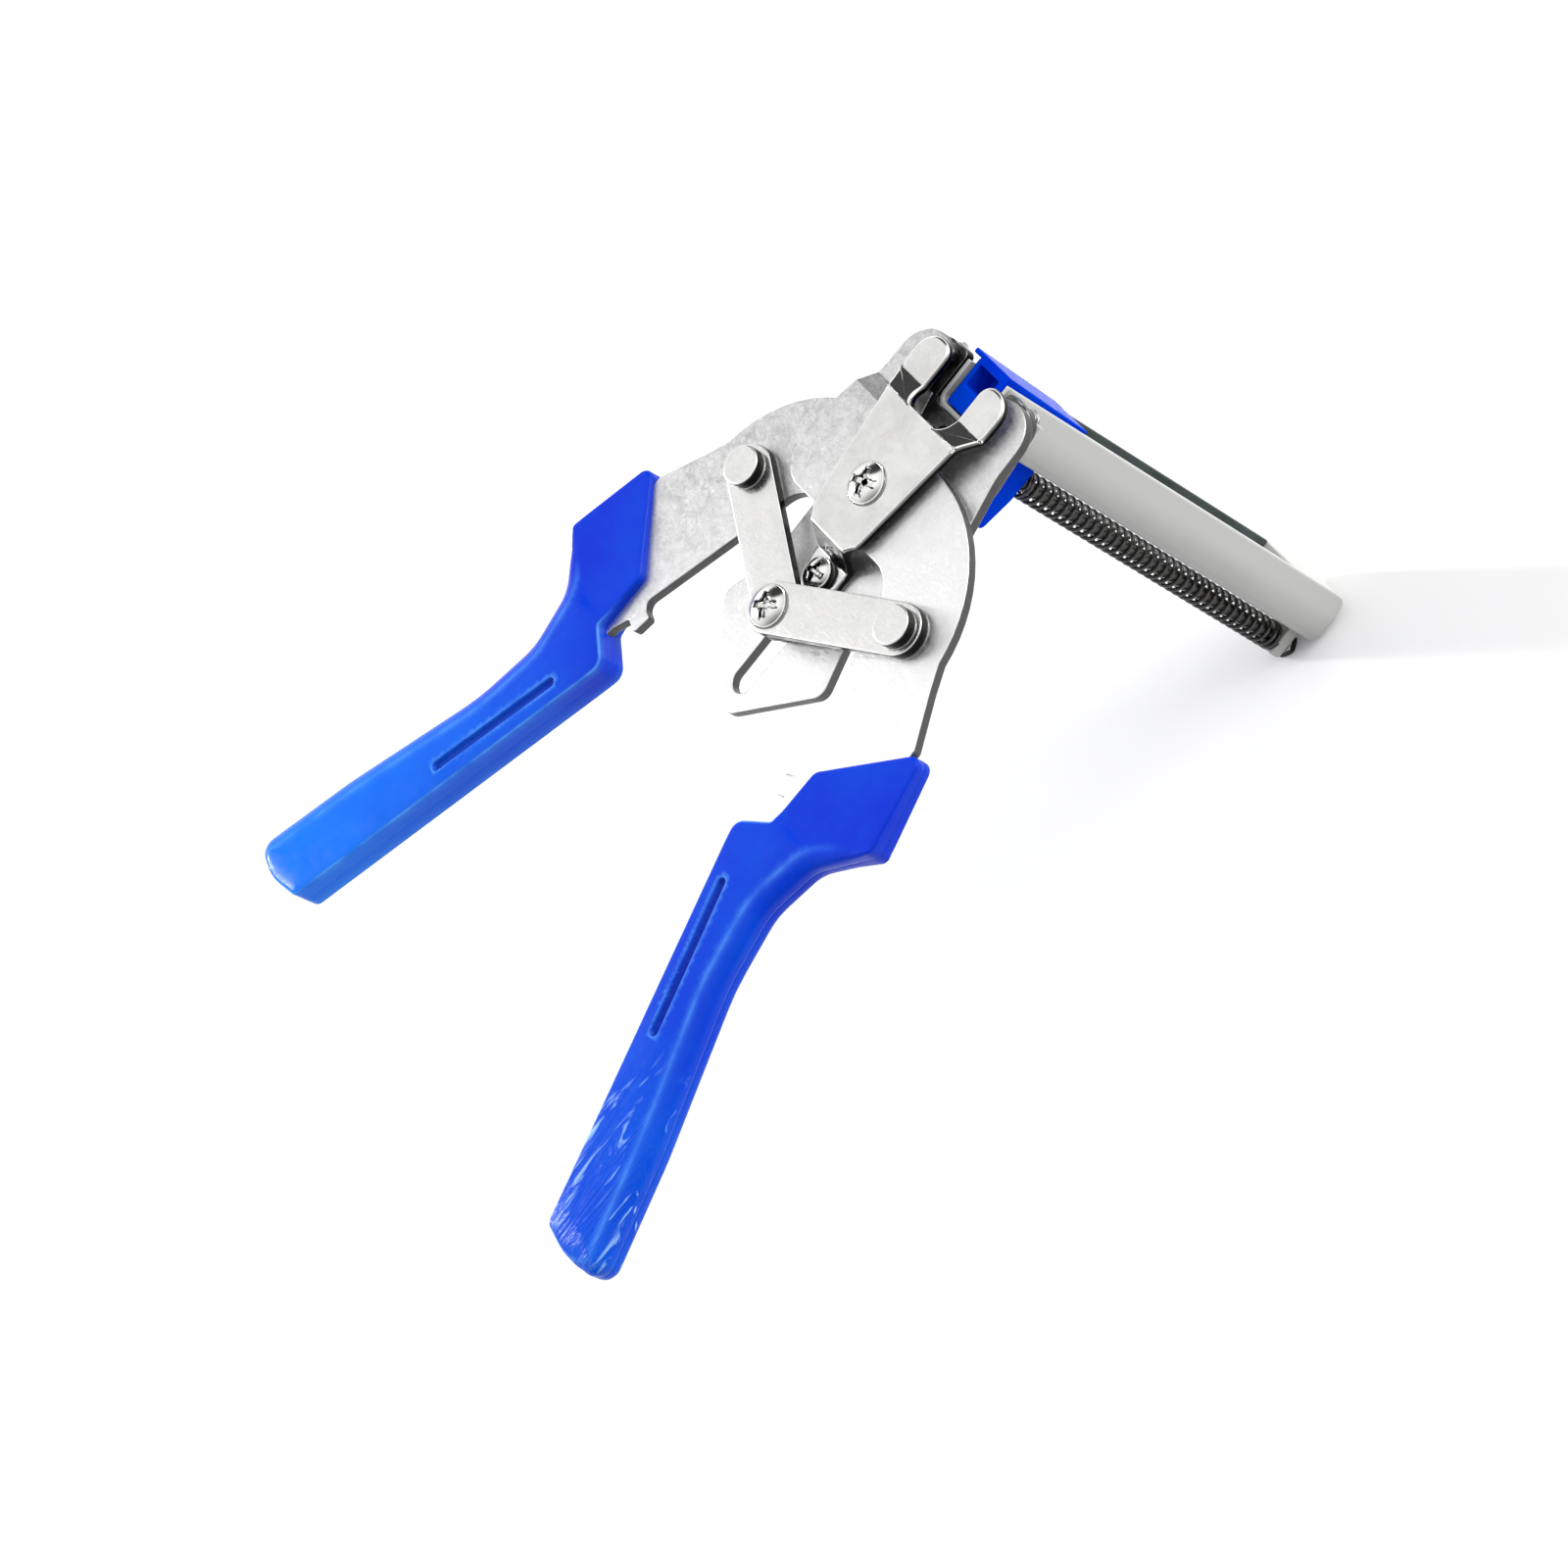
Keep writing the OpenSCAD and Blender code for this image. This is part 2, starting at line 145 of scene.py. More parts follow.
class PliersMetal(bpy.types.PropertyGroup):
    plate_edge: length_setting(
        "Plate edge", "Rounding of the pressed plates' edges", 0.28, 0.05, 0.6)
    cover_edge: length_setting(
        "Cover edge", "Rounding of the polished cover's bends and lower edges", 0.3, 0.05, 0.5)
    cover_rim: length_setting(
        "Cover rim", "Wide rounding of the polished cover's upper rim", 0.85, 0.2, 1.1)
    head_edge: length_setting(
        "Head edge", "Rounding of the rims of screw and rivet heads", 0.16, 0.05, 0.4)


class PliersSpring(bpy.types.PropertyGroup):
    turns: IntProperty(
        name="Turns", description="Number of turns of the feed spring", default=38, min=20, max=60)
    wire: length_setting("Wire", "Diameter of the spring's wire", 0.85, 0.5, 1.2)
    closed_turns: FloatProperty(
        name="Closed turns", description="Turns that touch at each end", default=1.5, min=0, max=4)


class PliersStage(bpy.types.PropertyGroup):
    light: FloatProperty(
        name="Light", description="Strength of the studio's surroundings", default=1.46, min=0.2, max=3)
    key: FloatProperty(
        name="Key light", description="Power of the long key light", default=8.0, min=0, max=100,
        unit="POWER")


GROUPS = {"pliers_colours": PliersColours, "pliers_grips": PliersGrips, "pliers_metal": PliersMetal,
          "pliers_spring": PliersSpring, "pliers_stage": PliersStage}


# ---------------------------------------------------------------- node helpers

def add(tree, kind, inputs=None, **props):
    """A new node, with its settings made and each input linked or given its value."""
    node = tree.nodes.new(kind)
    for key, value in props.items():
        setattr(node, key, value)
    for key, value in (inputs or {}).items():
        if isinstance(value, bpy.types.NodeSocket):
            tree.links.new(value, node.inputs[key])
        else:
            node.inputs[key].default_value = value
    return node


def math_node(tree, operation, a, b=None, clamp=False):
    inputs = {0: a} if b is None else {0: a, 1: b}
    return add(tree, "ShaderNodeMath", inputs, operation=operation, use_clamp=clamp).outputs[0]


def times(tree, a, b, clamp=False):
    return math_node(tree, "MULTIPLY", a, b, clamp)


def plus(tree, a, b, clamp=False):
    return math_node(tree, "ADD", a, b, clamp)


def ramp(tree, value, low, high, out_low=0.0, out_high=1.0, smooth=False):
    """The value from low to high carried to out_low to out_high, and held there."""
    return add(tree, "ShaderNodeMapRange", {0: value, 1: low, 2: high, 3: out_low, 4: out_high},
               interpolation_type="SMOOTHSTEP" if smooth else "LINEAR").outputs[0]


def new_group(name, kind, inputs, outputs):
    """An empty node group with its named inputs (name, type, value) and outputs (name, type)."""
    tree = bpy.data.node_groups.new(name, kind)
    for label, sort, value in inputs:
        socket = tree.interface.new_socket(label, in_out="INPUT", socket_type="NodeSocket" + sort)
        if value is not None:
            socket.default_value = value
    for label, sort in outputs:
        tree.interface.new_socket(label, in_out="OUTPUT", socket_type="NodeSocket" + sort)
    return tree, add(tree, "NodeGroupInput").outputs, add(tree, "NodeGroupOutput").inputs


# ---------------------------------------------------------------- shared effects

def stretched(tree, vector, scale):
    return add(tree, "ShaderNodeMapping", {"Vector": vector, "Scale": scale}).outputs[0]


def noise(tree, vector, scale, detail=3.0, roughness=0.55, distortion=0.0):
    return add(tree, "ShaderNodeTexNoise", {
        "Vector": vector, "Scale": scale, "Detail": detail, "Roughness": roughness,
        "Distortion": distortion}).outputs["Fac"]


def mottle_group():
    """Cloudy and flecked tone of plated steel, with the faint relief that goes with it."""
    tree, given, out = new_group(
        "Plated mottle", "ShaderNodeTree",
        [("Vector", "Vector", None), ("Scale", "Float", 900.0), ("Flecks", "Float", 0.5)],
        [("Tone", "Float"), ("Height", "Float")])
    cloud = noise(tree, given["Vector"], times(tree, given["Scale"], 0.28),
                  detail=4.0, roughness=0.6, distortion=0.6)
    fleck = noise(tree, given["Vector"], given["Scale"], detail=5.0, roughness=0.72, distortion=1.4)
    sharp = ramp(tree, fleck, 0.36, 0.66)
    cloud = ramp(tree, cloud, 0.34, 0.66)
    mixed = add(tree, "ShaderNodeMix", {0: given["Flecks"], 2: cloud, 3: sharp}, data_type="FLOAT")
    tree.links.new(mixed.outputs[0], out["Tone"])
    tree.links.new(plus(tree, fleck, times(tree, cloud, 0.4)), out["Height"])


def wear_group():
    """Mask of the convex edges that handling has rubbed, broken up by noise."""
    tree, given, out = new_group(
        "Edge wear", "ShaderNodeTree",
        [("Vector", "Vector", None), ("Amount", "Float", 0.5), ("Start", "Float", 0.53),
         ("End", "Float", 0.60)],
        [("Mask", "Float")])
    bend = add(tree, "ShaderNodeNewGeometry").outputs["Pointiness"]
    edge = ramp(tree, bend, given["Start"], given["End"])
    broken = ramp(tree, noise(tree, given["Vector"], 700.0, 4.0), 0.35, 0.6)
    worn = times(tree, edge, broken)
    tree.links.new(times(tree, worn, given["Amount"], clamp=True), out["Mask"])


def scratch_group():
    """Fine straight scratches in two directions, as a height and as a mask."""
    tree, given, out = new_group(
        "Fine scratches", "ShaderNodeTree",
        [("Vector", "Vector", None), ("Scale", "Float", 400.0), ("Cover", "Float", 0.5)],
        [("Mask", "Float"), ("Height", "Float")])
    lines = []
    for turn, scale in ((0.5, (1, 22, 1)), (-0.9, (1, 30, 1))):
        turned = add(tree, "ShaderNodeMapping", {
            "Vector": given["Vector"], "Rotation": (0, 0, turn), "Scale": scale}).outputs[0]
        lines.append(ramp(tree, noise(tree, turned, given["Scale"], 2.0), 0.62, 0.70))
    both = math_node(tree, "MAXIMUM", *lines)
    tree.links.new(times(tree, both, given["Cover"]), out["Mask"])
    tree.links.new(times(tree, both, -1.0), out["Height"])


def slope_group():
    """Shade of bright plate by slope: full on faces along Z, Floor on faces across it."""
    tree, given, out = new_group(
        "Slope shade", "ShaderNodeTree",
        [("Normal", "Vector", None), ("Floor", "Float", 0.1), ("Start", "Float", 0.25),
         ("End", "Float", 0.85)],
        [("Shade", "Float")])
    upright = add(tree, "ShaderNodeSeparateXYZ", {0: given["Normal"]}).outputs["Z"]
    upright = math_node(tree, "ABSOLUTE", upright)
    shade = ramp(tree, upright, given["Start"], given["End"], given["Floor"], 1.0, smooth=True)
    tree.links.new(shade, out["Shade"])


# ---------------------------------------------------------------- materials

def new_material(name):
    material = bpy.data.materials.new(name)
    material.use_nodes = True
    tree = material.node_tree
    tree.nodes.clear()
    shader = add(tree, "ShaderNodeBsdfPrincipled")
    add(tree, "ShaderNodeOutputMaterial", {"Surface": shader.outputs[0]})
    place = add(tree, "ShaderNodeTexCoord").outputs
    return material, tree, shader, place["Object"], place["Normal"]


def use(tree, group, inputs):
    """The outputs of a shared effect that is given these inputs."""
    return add(tree, "ShaderNodeGroup", inputs, node_tree=bpy.data.node_groups[group]).outputs


def shade_between(tree, mask, low, high):
    return add(tree, "ShaderNodeMix", {"Factor": mask, 6: low, 7: high}, data_type="RGBA").outputs[2]


def scaled(colour, factor):
    return tuple(min(1.0, c * factor) for c in colour[:3]) + (1.0,)


def relief(tree, shader, height, strength, distance):
    bump = add(tree, "ShaderNodeBump", {"Strength": strength, "Distance": distance, "Height": height})
    tree.links.new(bump.outputs[0], shader.inputs["Normal"])


# Stretches of a grip along Y: where painted light makes its plastic lighter, and where the flow marks
# of the right one, with their painted glints, come in and go out again
PAINTED_LIGHT_RUN = (-0.085, -0.17)
FLOW_RUN = (-0.128, -0.152)
FLOW_END = (-0.172, -0.166)
# Blues of painted shade and painted highlights: the groove's shade, the edges' highlight and the flow
# marks' glints
GROOVE_SHADE_BLUE = (0.0, 0.005, 0.22, 1)
RIDGE_HIGHLIGHT_BLUE = (0.12, 0.42, 1.0, 1)
PAINTED_GLINT_BLUE = (0.34, 0.60, 1.0, 1)


def plastic_material(name, colours, moulded):
    """Glossy moulded plastic; painted light makes the grips lighter towards their far ends, the left
    one most.
    """
    material, tree, shader, place, _ = new_material(name)
    shader.inputs["Specular IOR Level"].default_value = 0.14 if moulded else 0.06
    shader.inputs["IOR"].default_value = 1.5 if moulded else 1.15
    axes = add(tree, "ShaderNodeSeparateXYZ", {0: place}).outputs
    light = times(tree, ramp(tree, noise(tree, place, 60.0), 0.35, 0.75), 0.22)
    height = times(tree, noise(tree, place, 240.0, 2.0), 0.25)
    if moulded:
        # Painted light: the grips grow lighter towards their far ends, the left one most
        lit_far_end = ramp(tree, axes["Y"], *PAINTED_LIGHT_RUN)
        left = ramp(tree, axes["X"], 0.01, -0.01, 0.35, 1.0)
        right = ramp(tree, axes["X"], -0.01, 0.01)
        light = plus(tree, light, times(tree, lit_far_end, left), clamp=True)
        along = add(tree, "ShaderNodeMapping", {
            "Vector": place, "Rotation": (0, 0, -0.32), "Scale": (1.0, 0.16, 1.0)}).outputs[0]
        streaks = noise(tree, along, 330.0, detail=3.0, roughness=0.6, distortion=1.2)
        where = times(tree, ramp(tree, axes["Y"], *FLOW_RUN, smooth=True), right)
        where = times(tree, where, ramp(tree, axes["Y"], *FLOW_END))
        height = plus(tree, height, times(tree, streaks, times(tree, where, 9.0)))
    colour = shade_between(tree, light, tuple(colours.plastic), tuple(colours.plastic_mottled_and_lit))
    if moulded:
        # Painted shade darkens the inside of the groove
        hollow = add(tree, "ShaderNodeAttribute", attribute_name="hollow").outputs["Fac"]
        colour = shade_between(tree, times(tree, hollow, 0.55), colour, GROOVE_SHADE_BLUE)
        # Painted highlight along the grips' edges and the groove's lip
        ridge = add(tree, "ShaderNodeAttribute", attribute_name="ridge").outputs["Fac"]
        broken = ramp(tree, noise(tree, place, 160.0, 2.0), 0.3, 0.62, 0.25, 0.85)
        colour = shade_between(tree, times(tree, ridge, broken), colour, RIDGE_HIGHLIGHT_BLUE)
        # Painted glints on the right grip's flow marks
        painted_glint = times(tree, ramp(tree, streaks, 0.60, 0.70), where, clamp=True)
        colour = shade_between(tree, painted_glint, colour, PAINTED_GLINT_BLUE)
    tree.links.new(colour, shader.inputs["Base Color"])
    rough = ramp(tree, noise(tree, place, 500.0, 4.0), 0.3, 0.7, 0.14, 0.27)
    tree.links.new(rough, shader.inputs["Roughness"])
    relief(tree, shader, height, 0.35, 0.0002)
    return material


# Painted light on the right shank and painted shade on the jaws' ends
PAINTED_SHANK_LIGHT = (0.86, 0.86, 0.86, 1)
PAINTED_JAW_SHADE = (0.02, 0.02, 0.022, 1)


def plated_material(name, colour, tone_low, scale, flecks, rough, scratches, bump, slope=None,
                    wave=0.0, painted_light_spread=None, steep=(0.25, 0.85)):
    """Plated steel: mottled tone, painted shade on steep slopes, slow waves, rubbed edges and fine
    scratches.

    Given a spread, the plates take painted light towards the right shank and the tail, and painted
    shade on the jaws' ends.
    """
    material, tree, shader, place, facing = new_material(name)
    shader.inputs["Metallic"].default_value = 1.0
    mottle = use(tree, "Plated mottle", {"Vector": place, "Scale": scale, "Flecks": flecks})
    scratch = use(tree, "Fine scratches", {"Vector": place, "Scale": scale * 0.5, "Cover": scratches})
    wear = use(tree, "Edge wear", {"Vector": place, "Amount": 0.9})
    tone = shade_between(tree, mottle["Tone"], scaled(colour, tone_low), tuple(colour))
    # Painted light: lighter towards the right shank and the tail
    if painted_light_spread:
        axes = add(tree, "ShaderNodeSeparateXYZ", {0: place}).outputs
        across = math_node(tree, "SUBTRACT", axes["X"], times(tree, axes["Y"], 0.6))
        bright = times(tree, ramp(tree, across, -0.02, 0.055, smooth=True), painted_light_spread)
        tone = shade_between(tree, bright, tone, PAINTED_SHANK_LIGHT)
        # Painted shade: the jaws' ends darkened
        near = ramp(tree, math_node(tree, "ABSOLUTE", axes["X"]), 0.0115, 0.0095)
        jaws = times(tree, near, ramp(tree, axes["Y"], -0.013, -0.009))
        tone = shade_between(tree, times(tree, jaws, 0.86), tone, PAINTED_JAW_SHADE)
    tone = shade_between(tree, wear["Mask"], tone, scaled(colour, 1.14))
    # Painted shade: faces that turn away from Z grow dark
    if slope is not None:
        shade = use(tree, "Slope shade", {
            "Normal": facing, "Floor": slope, "Start": steep[0], "End": steep[1]})["Shade"]
        tone = shade_between(tree, shade, (0.0, 0.0, 0.0, 1), tone)
    tree.links.new(tone, shader.inputs["Base Color"])
    rough_base = ramp(tree, mottle["Tone"], 0.0, 1.0, rough * 1.25, rough * 0.8)
    rough_all = plus(tree, rough_base, times(tree, scratch["Mask"], 0.12))
    tree.links.new(rough_all, shader.inputs["Roughness"])
    height = plus(tree, mottle["Height"], times(tree, scratch["Height"], 0.5))
    slow = noise(tree, place, 75.0, detail=1.0, roughness=0.4, distortion=0.6)
    height = plus(tree, height, times(tree, slow, wave))
    relief(tree, shader, height, bump, 0.00012)
    return material


# Heights on the trough along Y: where the painted shade of the lower wall ends, and where the painted
# highlight of the upper rims lies
LOWER_WALL_SHADE = (-0.0055, 0.0015)
UPPER_RIM_HIGHLIGHT = (0.0036, 0.0040)


def paint_material(name, colour):
    """Satin paint with a light orange-peel, painted shade on the lower wall and a painted highlight on
    the upper rims.
    """
    material, tree, shader, place, _ = new_material(name)
    shader.inputs["Coat Weight"].default_value = 0.25
    shader.inputs["Coat Roughness"].default_value = 0.25
    axes = add(tree, "ShaderNodeSeparateXYZ", {0: place}).outputs
    cloud = ramp(tree, noise(tree, stretched(tree, place, (1, 1, 0.25)), 90.0), 0.3, 0.7)
    wavy = plus(tree, axes["Y"], times(tree, cloud, 0.0010))
    # Painted shade on the lower wall
    upper = ramp(tree, wavy, *LOWER_WALL_SHADE, smooth=True)
    tone = shade_between(tree, upper, scaled(colour, 0.66), tuple(colour))
    tone = shade_between(tree, times(tree, cloud, 0.25), tone, scaled(colour, 0.92))
    # Painted highlight on the upper rims
    tone = shade_between(tree, ramp(tree, axes["Y"], *UPPER_RIM_HIGHLIGHT), tone, scaled(colour, 1.2))
    tree.links.new(tone, shader.inputs["Base Color"])
    tree.links.new(ramp(tree, cloud, 0, 1, 0.36, 0.5), shader.inputs["Roughness"])
    relief(tree, shader, noise(tree, place, 1500.0), 0.16, 0.00008)
    return material


def dark_material(name, colour):
    """Dark strip with a soft sheen and dusty patches."""
    material, tree, shader, place, _ = new_material(name)
    dust = ramp(tree, noise(tree, stretched(tree, place, (1, 1, 0.4)), 260.0, 5.0), 0.4, 0.75)
    tone = shade_between(tree, dust, tuple(colour), scaled(colour, 2.0))
    tree.links.new(tone, shader.inputs["Base Color"])
    tree.links.new(ramp(tree, dust, 0, 1, 0.38, 0.6), shader.inputs["Roughness"])
    relief(tree, shader, noise(tree, place, 2200.0), 0.2, 0.00006)
    return material


# Looks of the plated pieces: the material's name, its colour setting and its mix of effects
PLATING = {
    "zinc": ("Zinc plate", "zinc", dict(
        tone_low=0.42, scale=800.0, flecks=0.6, rough=0.32, scratches=0.8, bump=0.34,
        slope=0.13, wave=1.0, painted_light_spread=0.82)),
    "nickel": ("Bright nickel", "nickel", dict(
        tone_low=0.78, scale=500.0, flecks=0.3, rough=0.13, scratches=0.4, bump=0.12,
        slope=0.02, wave=45.0)),
    "screw": ("Bright screw", "nickel", dict(
        tone_low=0.80, scale=500.0, flecks=0.3, rough=0.12, scratches=0.4, bump=0.10,
        slope=0.02, wave=10.0, steep=(0.62, 0.99))),
    "brushed": ("Satin nickel", "nickel", dict(
        tone_low=0.80, scale=700.0, flecks=0.4, rough=0.22, scratches=0.5, bump=0.12,
        slope=0.02, wave=26.0)),
    "steel": ("Spring steel", "steel", dict(
        tone_low=0.6, scale=1500.0, flecks=0.4, rough=0.24, scratches=0.3, bump=0.10)),
}


def make_materials(colours):
    for group in (mottle_group, wear_group, scratch_group, slope_group):
        group()
    made = {"moulded": plastic_material("Moulded grip plastic", colours, True),
            "follower": plastic_material("Follower plastic", colours, False),
            "paint": paint_material("Trough paint", tuple(colours.paint)),
            "rail": dark_material("Dark rail", tuple(colours.rail))}
    for key, (name, setting, look) in PLATING.items():
        made[key] = plated_material(name, tuple(getattr(colours, setting)), **look)
    return made


def material(key):
    made = bpy.context.scene.get("pliers_materials")
    if not made:
        found = make_materials(bpy.context.scene.pliers_colours)
        bpy.context.scene["pliers_materials"] = made = {k: m.name for k, m in found.items()}
    return bpy.data.materials[made[key]]


# ---------------------------------------------------------------- mesh helpers

def shown(mesh, name, finish, nodes):
    """Finished piece: area-weighted normals, its material, and the CAD nodes that it stands for."""
    mesh.name = name
    mesh.shade_smooth()
    mesh.materials.clear()
    mesh.materials.append(material(finish))
    piece = bpy.data.objects.new(name, mesh)
    bpy.context.scene.collection.objects.link(piece)
    weighting = piece.modifiers.new("Weighted normals", "WEIGHTED_NORMAL")
    weighting.keep_sharp = True
    graph = bpy.context.evaluated_depsgraph_get()
    final = bpy.data.meshes.new_from_object(piece.evaluated_get(graph))
    piece.modifiers.clear()
    piece.data = final
    final.name = name
    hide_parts(*nodes)
    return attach(piece, BODY_OF[nodes[0]])


def opened(mesh):
    bm = bmesh.new()
    bm.from_mesh(mesh)
    return bm


def closed(bm, mesh):
    bm.to_mesh(mesh)
    bm.free()
    return mesh


def turn_of(edge):
    """The angle by which the surface turns at an edge."""
    return edge.calc_face_angle(0.0) if len(edge.link_faces) == 2 else 0.0


def bevel(bm, edges, width, segments=2):
    bmesh.ops.bevel(bm, geom=edges, offset=width, offset_type="OFFSET", segments=segments,
                    profile=0.5, affect="EDGES", clamp_overlap=False)


def rounded_edges(bm, width, segments=2, crease=26.0, rim=None):
    """Merges what is flat and rounds the edges that turn by more than crease degrees.

    rim gives a wider rounding to the edges between a wall and a face that looks along +Z.
    """
    bmesh.ops.remove_doubles(bm, verts=bm.verts, dist=3e-6)
    bmesh.ops.dissolve_limit(bm, angle_limit=math.radians(0.6), verts=bm.verts, edges=bm.edges)
    if rim:
        bm.normal_update()
        top = [e for e in bm.edges if turn_of(e) > math.radians(60)
               and max(f.normal.z for f in e.link_faces) > 0.55
               and min(f.normal.z for f in e.link_faces) < 0.3]
        bevel(bm, top, rim, 5)
    bevel(bm, [e for e in bm.edges if turn_of(e) > math.radians(crease)], width, segments)
    bmesh.ops.triangulate(bm, faces=[f for f in bm.faces if len(f.verts) > 4])


def softened(node, name, width, finish, segments=2, crease=26.0, rim=None):
    """The CAD node's own shape with its sharp edges rounded."""
    bm = opened(NODES[node].data)
    rounded_edges(bm, width, segments, crease, rim)
    return shown(closed(bm, bpy.data.meshes.new(name)), name, finish, [node])


def evaluated(tree, values, name):
    """The mesh that a Geometry Nodes tree makes from the named values."""
    holder = bpy.data.objects.new(name, bpy.data.meshes.new(name))
    bpy.context.scene.collection.objects.link(holder)
    modifier = holder.modifiers.new("Shape", "NODES")
    modifier.node_group = tree
    sockets = {s.name: s.identifier for s in tree.interface.items_tree if s.in_out == "INPUT"}
    for key, value in values.items():
        modifier[sockets[key]] = value
    graph = bpy.context.evaluated_depsgraph_get()
    mesh = bpy.data.meshes.new_from_object(holder.evaluated_get(graph))
    holder.modifiers.remove(modifier)
    bpy.data.objects.remove(holder)
    return mesh


def closing_nodes(tree, geometry, given, out):
    """Every tree ends in real geometry with its material set."""
    real = add(tree, "GeometryNodeRealizeInstances", {0: geometry}).outputs[0]
    done = add(tree, "GeometryNodeSetMaterial", {"Geometry": real, "Material": given["Material"]})
    tree.links.new(done.outputs[0], out["Geometry"])
    return tree


def xyz(tree, x=0.0, y=0.0, z=0.0):
    return add(tree, "ShaderNodeCombineXYZ", {0: x, 1: y, 2: z}).outputs[0]


def moved(tree, geometry, offset=None, turn=None):
    inputs = {"Geometry": geometry}
    if offset is not None:
        inputs["Translation"] = offset
    if turn is not None:
        inputs["Rotation"] = turn
    return add(tree, "GeometryNodeTransform", inputs).outputs[0]


def cylinder(tree, radius, depth, sides):
    return add(tree, "GeometryNodeMeshCylinder",
               {"Vertices": sides, "Radius": radius, "Depth": depth}).outputs["Mesh"]


def boolean(tree, operation, first, *others):
    node = add(tree, "GeometryNodeMeshBoolean", operation=operation, solver="EXACT")
    if operation == "DIFFERENCE":
        tree.links.new(first, node.inputs["Mesh 1"])
        for other in others:
            tree.links.new(other, node.inputs["Mesh 2"])
    else:
        for mesh in (first, *others):
            tree.links.new(mesh, node.inputs["Mesh 2"])
    return node.outputs["Mesh"]


# ---------------------------------------------------------------- grips

def rounded_outline(corners, step=6.0):
    """Closed outline through the corners (x, y, radius), each rounded to its radius."""
    points = []
    for i, (x, y, radius) in enumerate(corners):
        b = np.array((x, y))
        u, v = (np.array(corners[(i + k) % len(corners)][:2]) - b for k in (-1, 1))
        u, v = u / np.linalg.norm(u), v / np.linalg.norm(v)
        half = math.acos(float(np.clip(u @ v, -1, 1))) / 2
        toward = (u + v) / np.linalg.norm(u + v)
        centre = b + toward * radius / math.sin(half)
        a0, a1 = (math.atan2(*((b + w * radius / math.tan(half)) - centre)[::-1]) for w in (u, v))
        sweep = (a1 - a0 + math.pi) % (2 * math.pi) - math.pi
        count = max(2, math.ceil(abs(math.degrees(sweep)) / step))
        for k in range(count + 1):
            a = a0 + sweep * k / count
            points.append(centre + radius * np.array((math.cos(a), math.sin(a))))
    return np.array(points)


def evenly(points, spacing):
    """The same closed outline, turning left, with points about one spacing apart."""
    x, y = points.T
    if (x * np.roll(y, -1) - np.roll(x, -1) * y).sum() < 0:
        points = points[::-1]
    steps = np.linalg.norm(np.roll(points, -1, 0) - points, axis=1)
    along = np.concatenate(([0], np.cumsum(steps)))
    closed = np.vstack((points, points[:1]))
    count = int(along[-1] / spacing)
    t = np.linspace(0, along[-1], count, endpoint=False)
    return np.c_[np.interp(t, along, closed[:, 0]), np.interp(t, along, closed[:, 1])]


def nearest(points, a, b):
    """For each point, its distance to the closest of the stretches a-b, and that stretch's number."""
    best, which = np.full(len(points), 1e9), np.zeros(len(points), int)
    ab = b - a
    length = (ab ** 2).sum(1)
    for start in range(0, len(points), 1500):
        p = points[start:start + 1500, None, :]
        t = np.clip(((p - a) * ab).sum(2) / length, 0, 1)
        distance = np.linalg.norm(p - (a + t[..., None] * ab), axis=2)
        which[start:start + 1500] = distance.argmin(1)
        best[start:start + 1500] = distance.min(1)
    return best, which


def smooth(x):
    x = np.clip(x, 0, 1)
    return x * x * (3 - 2 * x)


# Corners of a grip (x, y, radius) in millimetres, measured from the main pivot
GRIP_CORNERS = [
    (52, -28.2, 2), (34.4, -45.9, 2.5), (34.6, -58.4, 1), (27.2, -63.4, 3), (28.6, -68, 6),
    (54, -143.2, 2), (62, -144.6, 20), (71.8, -143.6, 3.5), (63, -119, 80), (49.4, -87, 40),
    (46, -71.5, 14), (48.2, -59.5, 9), (57.8, -48.6, 2.2)]
GROOVE = ((34.8, -73.5), (45.0, -102.5))
# Half thicknesses of the body and of the thin collar, which swells from COLLAR_Y on; a curved
# shoulder joins the two
HALF_GRIP, HALF_COLLAR = 4.3, 2.2
COLLAR_Y, COLLAR_RUN = -27, 31
SHOULDER_X, SHOULDER_Y, SHOULDER_BEND, SHOULDER_RUN, SHOULDER_STEP = 40, -57.6, 0.03, 3.2, 0.7
CROWN, CROWN_RUN = 0.3, 2.5
GROOVE_SLOPE = 0.32
SEAM_HALF = 0.09
# Spacing of the face's points: along the outline, inwards from it, over the middle, and out
# from the groove's edge
OUTLINE_STEP = 0.62
ROW_DEPTHS = (0.05, 0.14, 0.28, 0.48, 0.75, 1.1, 1.55, 2.1, 2.8, 3.5, 4.2)
GRID_STEP = (0.85, 0.9)
WALL_STEPS = (0.12, -0.02, -0.14, -0.3)


def groove_distance(points):
    """The distance of each point to the groove's middle line."""
    a, b = (np.array([p]) for p in GROOVE)
    return nearest(points, a, b)[0]


